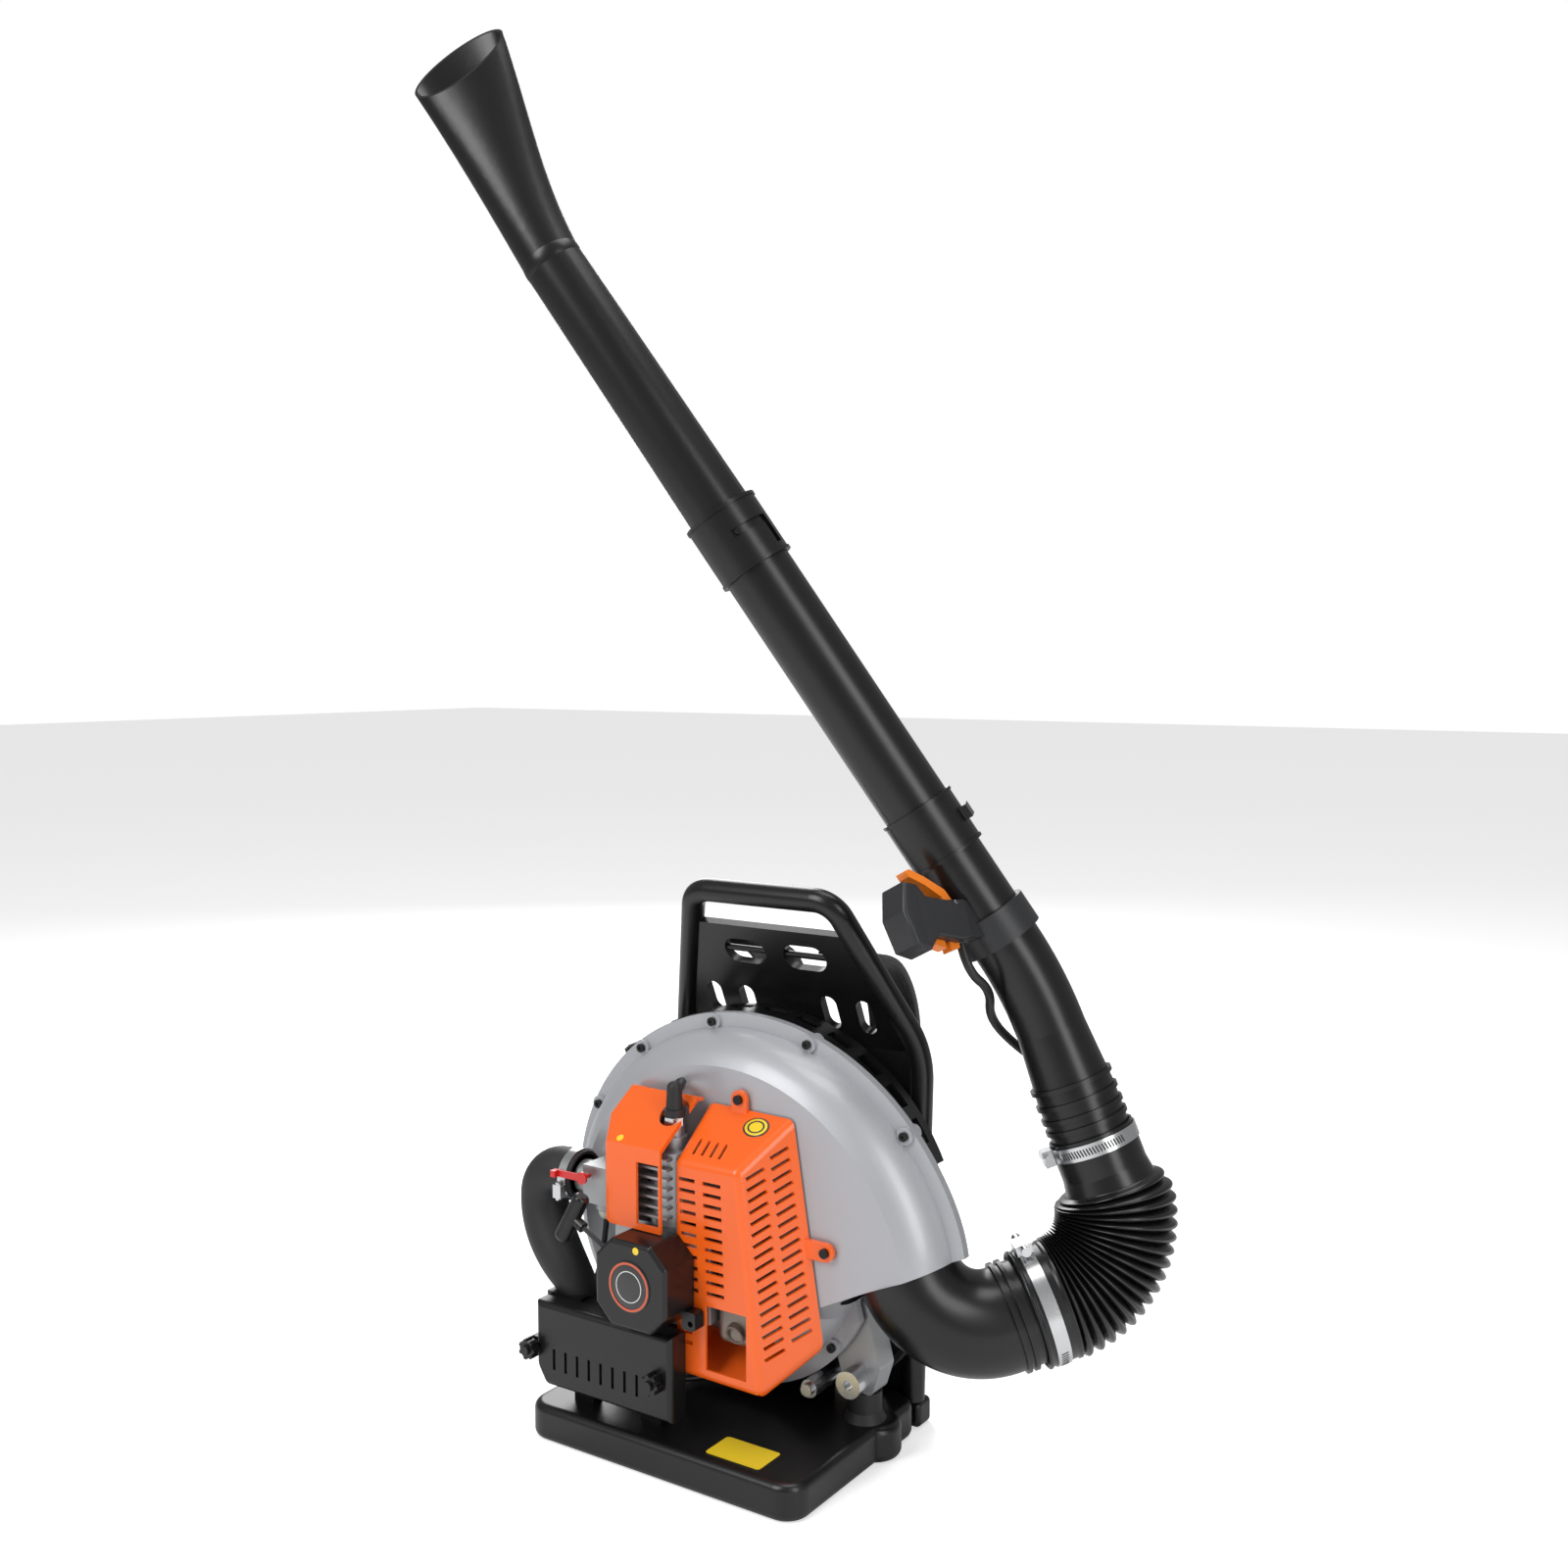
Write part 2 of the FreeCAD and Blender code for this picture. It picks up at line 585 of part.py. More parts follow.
plug_bore = cylinder(5, 30, at(FAN_X, ENGINE_Y, CYL_Z + 58))
inlet_port = cylinder(8, 50, at(FAN_X - 60, ENGINE_Y, CYL_Z + 20, X, Z))
outlet_port = cylinder(9, 50, at(FAN_X + 8, ENGINE_Y, CYL_Z + 20, X, Z))
node("cylinder", cut(fuse(*barrel), bore, plug_bore, inlet_port, outlet_port))
crown = cut(cylinder(BORE_R - 0.1, 26, at(FAN_X, ENGINE_Y, CYL_Z + 14)),
            cylinder(BORE_R - 3, 21, at(FAN_X, ENGINE_Y, CYL_Z + 13)))
rod = fuse(box(8, 8, 56, (FAN_X - 4, ENGINE_Y - 4, CYL_Z - 20)),
           cylinder(10, 8, at(FAN_X, ENGINE_Y - 4, FAN_Z + 14, Y, X)))
# the rod stops short of the crank's sweep, because the piston isn't driven here
crank_sweep = cylinder(24.5, 30, at(FAN_X, ENGINE_Y - 15, FAN_Z, Y, X))
node("piston", cut(fuse(crown, rod), crank_sweep))
PLUG_Z = CYL_Z + 84
node("spark_plug", fuse(cylinder(4.9, 14, at(FAN_X, ENGINE_Y, PLUG_Z - 14)),
                        primitive("Prism", at(FAN_X, ENGINE_Y, PLUG_Z), Polygon=6, Circumradius=9,
                                  Height=7),
                        cylinder(4.5, 12, at(FAN_X, ENGINE_Y, PLUG_Z + 7))))
cap = fuse(cylinder(9.5, 6, at(FAN_X, ENGINE_Y, PLUG_Z + 8)),
           primitive("Cone", at(FAN_X, ENGINE_Y, PLUG_Z + 14), Radius1=7.5, Radius2=6.5, Height=18),
           primitive("Sphere", at(FAN_X, ENGINE_Y, PLUG_Z + 32), Radius=6.5))
node("spark_plug_cap", cut(cap, cylinder(4.5, 11, at(FAN_X, ENGINE_Y, PLUG_Z + 8))))
CAP_Z = PLUG_Z + 29
lead_route = [(FAN_X, ENGINE_Y + 5, CAP_Z), (FAN_X - 4, ENGINE_Y + 22, CAP_Z + 6),
              (FAN_X - 20, -26, CAP_Z - 2), (FAN_X - 33, -26, CAP_Z - 22),
              (FAN_X - 38, -27, CAP_Z - 48), (FAN_X - 39, -29.5, CAP_Z - 77.5)]
node("ignition_lead", cord_tube("ignition_lead", lead_route, size("lead_radius")))
node("ignition_coil", fuse(box(14, 10, 22, (FAN_X - 50, -34, CAP_Z - 100)),
                           box(10, 6, 12, (FAN_X - 48, -32, CAP_Z - 112))))

muffler_side = [(39, 116), (84, 116), (67, 246), (39, 246)]
muffler = rounded(feature(prism(muffler_side, "Y", -66, -26)), 8, lambda e: True)
tail_place = at(60, -50, 134, Vector(0, -1, -0.35))
tail_pipe = cut(cylinder(9, 20, tail_place), cylinder(7, 21, tail_place))
spigot = cylinder(11, 18, at(FAN_X + 40.3, ENGINE_Y, CYL_Z + 20, X, Z))
node("muffler", fuse(muffler, spigot, tail_pipe))


# ---------------------------------------------------------------- orange covers

FRONT_QUAD = [(-1, 75), (91, 72), (67, 269), (-1, 268)]
BACK_QUAD = [(-1, 104), (122, 106), (90, 306), (-1, 308)]
COVER_FRONT, COVER_BACK = -74.0, -24.0


def quad_wire(points, y, inset):
    middle = Vector(sum(p[0] for p in points) / 4, 0, sum(p[1] for p in points) / 4)
    corners = []
    for a, b in points:
        corners.append(Vector(a - math.copysign(inset, a - middle.x), y,
                              b - math.copysign(inset, b - middle.z)))
    return Part.makePolygon(corners + corners[:1])


def blend_quads(amount):
    return [(a + (c - a) * amount, b + (d - b) * amount)
            for (a, b), (c, d) in zip(FRONT_QUAD, BACK_QUAD)]


skin = Part.makeLoft([quad_wire(FRONT_QUAD, COVER_FRONT, 0),
                      quad_wire(BACK_QUAD, COVER_BACK, 0)], True, True)
front_edges = [e for e in skin.Edges if e.BoundBox.YMax < COVER_FRONT + 0.1]
depth_edges = [e for e in skin.Edges if e.BoundBox.YLength > 10]
skin = skin.makeFillet(9, depth_edges + front_edges)
COVER_WALL = size("cover_wall")
cover_room = Part.makeLoft([quad_wire(blend_quads(0.05), COVER_FRONT + COVER_WALL, COVER_WALL),
                            quad_wire(blend_quads(1.04), COVER_BACK + 2, COVER_WALL)], True, True)
cover_room = cover_room.makeFillet(7, [e for e in cover_room.Edges if e.BoundBox.YLength > 10])
engine_side = Part.makeBox(8, 60, 186, Vector(-5, COVER_FRONT + 3.2, 116))
cuts = []
for row in range(16):
    z = 254 - row * 9.4
    left = 6 + row * 0.35
    for column, width in ((left, 17), (left + 25, 19)):
        if row > 10 and column > 20:
            continue
        cuts.append(Part.makeBox(width if row < 11 else 9, 12, 3.4,
                                 Vector(column, COVER_FRONT - 4, z - 1.7)))
cuts.append(Part.makeBox(42, 12, 56, Vector(34, COVER_FRONT - 4, 93)))
for row in range(17):
    share = row / 16
    for near in (0.12, 0.54):
        z = 262 - share * 150 + near * (34 - share * 4)
        x_front = 67 + 24 * share + 27 * near
        hole = Part.makeBox(30, 17, 3.2, Vector(-15, -8.5, -1.6))
        spot = Vector(x_front, COVER_FRONT + 50 * (near + 0.17), z)
        hole.Placement = Placement(spot, Rotation(X, 24))
        cuts.append(hole)
for line, y in enumerate((-66, -48)):
    for step in range(4):
        hole = Part.makeBox(2.6, 13, 26, Vector(14 + step * 9 + line * 5, y, 262))
        cuts.append(hole)
ears = []
EARS = [(36, 316), (124, 199)]
for x, z in EARS:
    ears.append(Part.makeCylinder(8, 4, Vector(x, COVER_BACK - 4, z), Y))
ears.append(Part.makeBox(16, 4, 14, Vector(28, COVER_BACK - 4, 302)))
ears.append(Part.makeBox(22, 4, 16, Vector(102, COVER_BACK - 4, 191)))
ear_bores = [Part.makeCylinder(2.5, 12, Vector(x, COVER_BACK - 8, z), Y) for x, z in EARS]
cover = skin.cut(cover_room).cut(cuts).multiFuse(ears).cut([cover_room, engine_side] + ear_bores)
node("muffler_cover", feature(largest(cover)))

# cylinder cover: sloped-top hood beside the muffler cover, with a cooling window
HOOD_Z = 206.8
side = [(-88, HOOD_Z), (-26, HOOD_Z), (-26, 312), (-34, 314), (-88, 279)]
hood = prism(side, "X", -80, -3.2)
corner_cut = prism([(-90, -90), (-62, -90), (-81, -58), (-90, -58)], "Z", 180, 330)
hood = hood.cut(corner_cut)
hood = hood.makeFillet(6, [e for e in hood.Edges if e.BoundBox.YMax < -27 and e.BoundBox.XMax < -4])
room = prism([(-85, 190), (-20, 190), (-20, 308), (-34, 310), (-85, 276)], "X", -76.5, -2)
room = room.cut(prism([(-90, -90), (-60, -90), (-78, -56), (-90, -56)], "Z", 180, 330))
plug_hole = Part.makeCylinder(13, 60, Vector(FAN_X, ENGINE_Y, 270), Z)
fin_window = Part.makeBox(24, 20, 54, Vector(-29, -95, HOOD_Z + 5))
carb_hole = Part.makeBox(16, 48, 64, Vector(-84, -78, 190))
lead_notch = Part.makeBox(34, 14, 40, Vector(-62, -32, 285))
node("cylinder_cover", feature(largest(hood.cut([room, plug_hole, fin_window, carb_hole, lead_notch]))))

COVER_SCREWS = [(36, COVER_BACK - 4, 316), (124, COVER_BACK - 4, 199)]
heads = []
for x, y, z in COVER_SCREWS:
    heads.append(cylinder("screw_radius + 1", 3, at(x, y - 3, z, Y, X)))
    heads.append(cylinder(2.4, 5.6, at(x, y, z, Y, X)))
node("case_screws", group(fuse(*heads[:2]), fuse(*heads[2:]), *volute_screws))


# ---------------------------------------------------------------- starter

FACE_Y = size("starter_face_y")
HALF_WIDTH = size("starter_size")
DEPTH = size("starter_depth")
octagon = []
for a, b in ((-0.55, -1), (0.55, -1), (1, -0.55), (1, 0.55), (0.55, 1), (-0.55, 1), (-1, 0.55),
             (-1, -0.55)):
    octagon.append((FAN_X + a * HALF_WIDTH, FAN_Z + b * HALF_WIDTH))
starter_shell = rounded(feature(prism(octagon, "Y", FACE_Y, FACE_Y + DEPTH)), 4,
                        lambda e: e.BoundBox.YMax < FACE_Y + 0.1 or e.BoundBox.YLength > 20)
drum_room = cylinder(34.6, DEPTH, at(FAN_X, FACE_Y + 3, FAN_Z, Y, X))
stub = cylinder(5, 9, at(FAN_X, FACE_Y + 2.9, FAN_Z, Y, X))
ROPE_START = Vector(-38, -104.7, 184.8)
ROPE_END = Vector(-80.6, -103, 206)
ROPE_DIR = Vector(ROPE_END - ROPE_START).normalize()
rope_place = Placement(ROPE_START - ROPE_DIR * 12, facing(ROPE_DIR, Y))
rope_bore = cylinder(2.6, 40, rope_place)
lug = rounded(box(14, 12, 16, (FAN_X + HALF_WIDTH - 4, FACE_Y + DEPTH - 12, FAN_Z - HALF_WIDTH)), 3,
              along(Y))
lug_bore = cylinder(2.6, 20, at(FAN_X + HALF_WIDTH + 5, FACE_Y + DEPTH - 18, FAN_Z - HALF_WIDTH + 6,
                                Y, X))
node("starter_housing", cut(fuse(cut(starter_shell, drum_room), stub, lug), rope_bore, lug_bore))
drum = cut(fuse(cylinder(27, 3, at(FAN_X, FACE_Y + 6, FAN_Z, Y, X)),
                cylinder(20, 8, at(FAN_X, FACE_Y + 6, FAN_Z, Y, X)),
                cylinder(27, 2.5, at(FAN_X, FACE_Y + 11.5, FAN_Z, Y, X))),
           cylinder("5 + running_gap", 12, at(FAN_X, FACE_Y + 4, FAN_Z, Y, X)))
pawl = box(9, 2.4, 5, (FAN_X + 8, FACE_Y + 13.6, FAN_Z - 2.5))
node("starter_pulley", fuse(drum, pawl))
badge = fuse(cylinder(22, 0.8, at(FAN_X, FACE_Y, FAN_Z, Y * -1, X)),
             ring(21, 18.6, 1.2, at(FAN_X, FACE_Y, FAN_Z, Y * -1, X)))
node("blank_labels", group(badge, base_label))
grip_centre = ROPE_END + ROPE_DIR * 9
bar = facing(Vector(0.62, 0.1, 0.78).cross(ROPE_DIR).cross(ROPE_DIR) * -1, Y)
bar_dir = bar.multVec(Z)
handle_bar = rounded(cylinder(7.5, 46, Placement(grip_centre - bar_dir * 23, bar)), 4,
                     lambda e: True)
stem = cylinder(5, 16, Placement(ROPE_END - ROPE_DIR * 6, facing(ROPE_DIR, Y)))
rope = cylinder(2, 42, Placement(ROPE_START - ROPE_DIR * 0.5, facing(ROPE_DIR, Y)))
node("starter_grip", group(cut(fuse(handle_bar, stem), cylinder(2, 60, rope_place)), rope))


# ---------------------------------------------------------------- air filter and intake

WIDTH = size("filter_width")
BOX_X = -138.0
BOX_Z = size("filter_z")
TALL = size("filter_height")
outline = [(0, 22), (14, 0), (WIDTH, 0), (WIDTH, TALL), (0, TALL)]


def filter_shape(inset):
    spots = []
    for a, b in outline:
        spots.append((min(max(a, inset), WIDTH - inset), min(max(b, inset), TALL - inset)))
    return spots


lid = doc.addObject("PartDesign::Body", "lid")
raised(lid, closed_sketch(lid, "outline", outline), 20)
lid_room = raised(lid, closed_sketch(lid, "inside", filter_shape(2.5)), 17.5, "PartDesign::Pocket")
lid_room.Reversed = True
vent = raised(lid, closed_sketch(lid, "vent", [(20, 16), (23, 16), (23, 35), (20, 35)]), 40,
              "PartDesign::Pocket")
vent.Midplane = True
vents = lid.newObject("PartDesign::LinearPattern", "vents")
vents.Originals = [vent]
vents.Direction = (lid.Origin.OriginFeatures[0], [""])
vents.Length = 94
vents.Occurrences = 8
lid.Tip = vents
lid.Placement = Placement(Vector(BOX_X, size("filter_face_y") + 20, BOX_Z), Rotation(X, 90))
doc.recompute()
KNOBS = {"left": Vector(-141, 0, 80), "right": Vector(-2, 0, 82)}
LID_Y = size("filter_face_y")
lug_left = cylinder(9, 12, at(KNOBS["left"].x, LID_Y + 2, KNOBS["left"].z, Y, X))
studs = [cylinder("2.5 + body_gap", 40, at(p.x, LID_Y - 6, p.z, Y, X)) for p in KNOBS.values()]
lid_soft = rounded(lid, 5, lambda e: e.BoundBox.YMax < LID_Y + 0.1 and max(
    e.BoundBox.XLength, e.BoundBox.ZLength) > 40)
node("air_filter_cover", cut(fuse(lid_soft, lug_left), *studs))
TRAY_RIGHT = -2.6


def tray_outline(inset, right):
    return [(min(BOX_X + a, right), BOX_Z + b) for a, b in filter_shape(inset)]


tray = fuse(feature(prism(tray_outline(1, TRAY_RIGHT), "Y", LID_Y + 20, LID_Y + 37)),
            feature(prism(tray_outline(1, BOX_X + WIDTH), "Y", LID_Y + 20, LID_Y + 22.4)))
tray_room = feature(prism(tray_outline(4, TRAY_RIGHT - 3), "Y", LID_Y + 12, LID_Y + 34))
stud_posts = [cylinder(2.5, 30, at(p.x, LID_Y - 8, p.z, Y, X)) for p in KNOBS.values()]
stud_lug = cylinder(9, 14, at(KNOBS["left"].x, LID_Y + 20, KNOBS["left"].z, Y, X))
PORT_X, PORT_Y, PORT_Z = -122.0, -57.0, 125.0
port = box(40, 39, 17, (PORT_X - 20, PORT_Y - 19.5, PORT_Z - 17))
port_bores = [cylinder(15.5, 12, at(PORT_X, PORT_Y, PORT_Z - 11)),
              box(24, 26, 8, (PORT_X - 12, PORT_Y - 15, PORT_Z - 15))]
legs = [box(22, 12, BOX_Z - size("base_height") + 6, (x, LID_Y + 22, size("base_height")))
        for x in (-112, -36)]
node("air_filter_base", cut(fuse(cut(fuse(tray, stud_lug, port), tray_room), *stud_posts, *legs),
                            *port_bores))
node("air_filter_element", box(110, 16, 50, (-124, LID_Y + 4, 62)))

STAR = [(5, -2.2), (9.2, -1.6), (9.2, 1.6), (5, 2.2)]
for label, p in KNOBS.items():
    knob = disc_with_spokes("knob", 7.6, 9, STAR, 9, 7, 4.5, 12)
    knob.Placement = at(p.x, LID_Y - 0.6, p.z, Y * -1, X)
    node(f"filter_knob_{label}", bored(knob, "2.5 + running_gap", 9, at(p.x, LID_Y, p.z, Y * -1, X)))

DUCT_TOP = Vector(-166, ENGINE_Y, 204)


def duct(radius):
    arc, end = bend(DUCT_TOP, Z, X, 24.5)
    stations = [(Vector(PORT_X, PORT_Y, PORT_Z), Z, -3), (Vector(-138, -59, 148), Vector(-0.4, 0, 1), -1),
                (Vector(-160, -55, 180), Vector(-0.3, 0, 1), 0), (DUCT_TOP, Z, 0)]
    lower = Part.makeLoft([Part.Wire(Part.Circle(spot, normal, radius + more).toShape())
                           for spot, normal, more in stations], True, False)
    corner = tube_along(Part.Wire([arc]), radius, Z)
    level = Part.makeCylinder(radius, 24, end, X)
    return lower.multiFuse([corner, level])


node("intake_duct", feature(duct(22).cut(duct(19.5))))
CARB_X = -117.5
duct_clamp = fuse(ring(24, 22, 9, at(CARB_X - 12, ENGINE_Y, CYL_Z + 20.5, X, Z)),
                  box(9, 7, 12, (CARB_X - 12, ENGINE_Y - 30, CYL_Z + 6)),
                  cylinder(2.6, 16, at(CARB_X - 8, ENGINE_Y - 27, CYL_Z + 4)))
CARB_Z = CYL_Z + 20.5
PRIMER_X = -92.0
carb = fuse(box(28, 34, 34, (-105, ENGINE_Y - 17, CARB_Z - 17)),
            cylinder(15, 14, at(-117.4, ENGINE_Y, CARB_Z, X, Z)),
            box(14, 34, 30, (-77, ENGINE_Y - 17, CARB_Z - 15)),
            cylinder(10, 8, at(PRIMER_X, ENGINE_Y, CARB_Z - 24.5)))
node("carburettor", cut(carb, cylinder(8, 60, at(-120, ENGINE_Y, CARB_Z, X, Z)),
                        cylinder(7.8, 5.5, at(PRIMER_X, ENGINE_Y, CARB_Z - 24.6)),
                        cylinder("2 + running_gap", 9, at(-98, ENGINE_Y - 18, CARB_Z + 8, Y, X))))
LEVER_Y = ENGINE_Y - 28
choke = fuse(cylinder(2, 18, at(-98, LEVER_Y, CARB_Z + 8, Y, X)),
             cylinder(5.5, 2.5, at(-98, LEVER_Y, CARB_Z + 8, Y, X)),
             rounded(box(32, 2.5, 6, (-128, LEVER_Y, CARB_Z + 5)), 2, along(Y)),
             box(5, 7, 6, (-130, LEVER_Y - 4.5, CARB_Z + 5)))
node("choke_lever", choke)
node("primer_bulb", cut(primitive("Sphere", at(PRIMER_X, ENGINE_Y, CARB_Z - 27.5), Radius=7.5),
                        box(20, 20, 12, (PRIMER_X - 10, ENGINE_Y - 10, CARB_Z - 22.6))))


# ---------------------------------------------------------------- fuel

tank = rounded(box(60, 34, 172, (-172, 65, 124)), 10, lambda e: True)
neck = Vector(-148, 79, 297)
NECK_DIR = Vector(-0.36, -0.06, 0.93).normalize()
neck_pipe = cylinder(11, 25, Placement(neck - NECK_DIR * 8, facing(NECK_DIR, Y)))
neck_bore = cylinder(8.5, 60, Placement(neck - NECK_DIR * 20, facing(NECK_DIR, Y)))
tank_room = rounded(box(55, 29, 167, (-169.5, 67.5, 126.5)), 7.5, lambda e: True)
node("fuel_tank", cut(fuse(tank, neck_pipe), tank_room, neck_bore))
RIB = [(14.5, -1.4), (17.2, -1), (17.2, 1), (14.5, 1.4)]
cap_body = disc_with_spokes("cap", 15.2, 17, RIB, 16, 18, 13, 18)
cap_body.Placement = Placement(neck + NECK_DIR * 8, facing(NECK_DIR, Y))
node("fuel_cap", cut(cap_body, cylinder("11 + body_gap", 9.6,
                                        Placement(neck + NECK_DIR * 7.9, facing(NECK_DIR, Y)))))
fuel_route = [(-148, 82, 122.8), (-151, 76, 104), (-155, 52, 90), (-156, 24, 84), (-152, -4, 90),
              (-138, -28, 104), (-121, -31, 128), (-110, -33, 166), (-101.5, -39, 210.6)]
node("fuel_line", cord_tube("fuel_line", fuel_route, 2.6))


# ---------------------------------------------------------------- mounts

ARMS = {1: [(104, 150), (131, 140), (146, 84), (138, 58), (112, 60), (98, 100)],
        -1: [(-104, 116), (-106, 60), (-140, 58), (-144, 84), (-136, 112)]}
volute_block = volute_body(DUCT_R, HALF, 1)
brackets = []
for side, arm in ARMS.items():
    plate = prism(arm, "Y", 26, 50)
    plate = plate.makeFillet(6, [e for e in plate.Edges if along(Y)(e)])
    sleeve_hole = Part.makeCylinder(SLEEVE_R, 60, Vector(SLEEVE_X * side, 0, SLEEVE_Z), Y)
    brackets.append(feature(largest(plate.cut([volute_block, sleeve_hole] + rear_bosses))))
node("mount_brackets", group(*brackets))
sleeves = []
for x in (-SLEEVE_X, SLEEVE_X):
    sleeves.append(fuse(ring(SLEEVE_R, 4.5, 50, at(x, 9, SLEEVE_Z, Y, X)),
                        cylinder(4.6, 45, at(x, 14, SLEEVE_Z, Y, X)),
                        primitive("Prism", at(x, 59, SLEEVE_Z, Y, X), Polygon=6, Circumradius=8,
                                  Height=5)))
node("mount_sleeves", group(*sleeves))
posts = []
for x in (-SLEEVE_X, SLEEVE_X):
    post = fuse(primitive("Cone", at(x, 38, size("base_height")), Radius1=19, Radius2=15, Height=8),
                cylinder(15, 26, at(x, 38, size("base_height"))))
    posts.append(cut(post, cylinder(12, 60, at(x, 9, SLEEVE_Z, Y, X))))
node("mount_rubbers", group(*posts))
spring_place = at(90, 0, 63, Y, X)
node("mount_spring", fuse(ring(8, 5.5, 52, spring_place),
                          cylinder(5.4, 6, at(90, -5, 63, Y, X)),
                          cylinder(5.4, 12, at(90, 50, 63, Y, X)),
                          box(12, 8, 31, (84, 52, size("base_height")))))


# ---------------------------------------------------------------- elbow and hose

OUTLET = (OUTLET_INNER + OUTLET_OUTER) * 0.5
AZIMUTH = math.radians(48.6)
RISE = math.atan(FLOW.x * math.sin(AZIMUTH) / -FLOW.z)
HOSE_DIR = Vector(math.sin(AZIMUTH) * math.cos(RISE), math.cos(AZIMUTH) * math.cos(RISE),
                  math.sin(RISE))
CLAMP_DIR = Vector(-0.365, -0.089, 0.927).normalize()
WAND_DIR = Vector(-0.496, -0.257, 0.83).normalize()
ELBOW_R = size("elbow_radius")
elbow_arc, ELBOW_END = bend(OUTLET + FLOW * 0.4, FLOW, HOSE_DIR, size("elbow_bend"))
ELBOW_TAIL = 46.0
HOSE_LAP = 26.0


def elbow_solid(radius):
    arc = tube_along(Part.Wire([elbow_arc]), radius, FLOW)
    return arc.fuse(Part.makeCylinder(radius, ELBOW_TAIL, ELBOW_END, HOSE_DIR))


ribs = [Part.makeCylinder(ELBOW_R + 3, 3.5, ELBOW_END + HOSE_DIR * d, HOSE_DIR) for d in (2, 9)]
inner_start = Part.makeCylinder(ELBOW_R - 3, 3, OUTLET - FLOW * 2.5, FLOW)
inner_end = Part.makeCylinder(ELBOW_R - 3, 3, ELBOW_END + HOSE_DIR * (ELBOW_TAIL - 2), HOSE_DIR)
elbow = elbow_solid(ELBOW_R).multiFuse(ribs).cut(
    [elbow_solid(ELBOW_R - 3), inner_start, inner_end])
node("elbow_pipe", feature(elbow))

CUFF_START = ELBOW_END + HOSE_DIR * (ELBOW_TAIL - HOSE_LAP)
HOSE_START = ELBOW_END + HOSE_DIR * (ELBOW_TAIL + 4)
hose_arc, HOSE_END = bend(HOSE_START, HOSE_DIR, CLAMP_DIR, size("hose_bend"))
HOSE_R = size("hose_radius")
CUFF_R, TOP_CUFF_R = 49.0, 37.0
SWIVEL_R = 34.0
UPPER_CLAMP = HOSE_END + CLAMP_DIR * 37


def hose_solid(radius, low_cuff, high_cuff, overrun):
    body = tube_along(Part.Wire([hose_arc]), radius, HOSE_DIR)
    low = Part.makeCylinder(low_cuff, (HOSE_START - CUFF_START).Length + overrun,
                            CUFF_START - HOSE_DIR * overrun, HOSE_DIR)
    cone = Part.makeCone(radius, high_cuff, 12, HOSE_END, CLAMP_DIR)
    high = Part.makeCylinder(high_cuff, 34 + overrun, HOSE_END + CLAMP_DIR * 12, CLAMP_DIR)
    return body.multiFuse([low, cone, high])


hose = hose_solid(HOSE_R, CUFF_R, TOP_CUFF_R, 0).cut(
    hose_solid(HOSE_R - 4, ELBOW_R + 0.3, SWIVEL_R + 0.3, 1))
node("flex_hose", feature(hose))


def hose_clamp(radius, centre, axis, hint):
    """Worm-drive band with its screw housing on the side given by hint."""
    place = Placement(centre - axis * 6, facing(axis, hint))
    band = ring(radius + 1.2, radius, 12, place)
    side = place.Rotation.multVec(X)
    tangent = place.Rotation.multVec(Y)
    seat = centre - axis * 7 + side * (radius + 0.5) - tangent * 9
    house = primitive("Box", Placement(seat, place.Rotation), Length=9, Width=18, Height=14)
    screw = cylinder(4.2, 34, Placement(seat + side * 5 + axis * 7 - tangent * 9,
                                        facing(tangent, axis)))
    return cut(fuse(band, house, screw), cylinder(radius, 30, Placement(centre - axis * 15,
                                                                        facing(axis, hint))))


LOWER_CLAMP = CUFF_START + HOSE_DIR * 13
low_hint = Z - HOSE_DIR * Z.dot(HOSE_DIR)
node("lower_hose_clamp", hose_clamp(CUFF_R + 0.3, LOWER_CLAMP, HOSE_DIR, low_hint))
high_hint = Vector(-0.8, -0.55, 0)
high_hint = high_hint - CLAMP_DIR * high_hint.dot(CLAMP_DIR)
node("upper_hose_clamp", hose_clamp(TOP_CUFF_R + 0.3, UPPER_CLAMP, CLAMP_DIR, high_hint))


# ---------------------------------------------------------------- swivel tube and grip

PIPE_R = size("pipe_radius")
PIPE_IN = PIPE_R - size("pipe_wall")
SWIVEL_BEND = 350.0
TO_VERTEX = 141.0
VERTEX = UPPER_CLAMP + CLAMP_DIR * TO_VERTEX
REACH = SWIVEL_BEND * math.tan(CLAMP_DIR.getAngle(WAND_DIR) / 2)
ARC_START = VERTEX - CLAMP_DIR * REACH
swivel_arc, ARC_END = bend(ARC_START, CLAMP_DIR, WAND_DIR, SWIVEL_BEND)
SWIVEL_TOP, SOCKET_LOW, SOCKET_HIGH = 174.0, 132.0, 182.0
SWIVEL_BOTTOM = UPPER_CLAMP - CLAMP_DIR * 16


def swivel_solid(top, low, start, finish):
    arc = tube_along(Part.Wire([swivel_arc]), top, CLAMP_DIR)
    straight = Part.makeCylinder(top, finish - (ARC_END - VERTEX).Length, ARC_END, WAND_DIR)
    length = (ARC_START - SWIVEL_BOTTOM).Length
    lower = Part.makeCylinder(low, 60 + start, SWIVEL_BOTTOM - CLAMP_DIR * start, CLAMP_DIR)
    cone = Part.makeCone(low, top, length - 60, SWIVEL_BOTTOM + CLAMP_DIR * 60, CLAMP_DIR)
    return arc.multiFuse([straight, lower, cone])


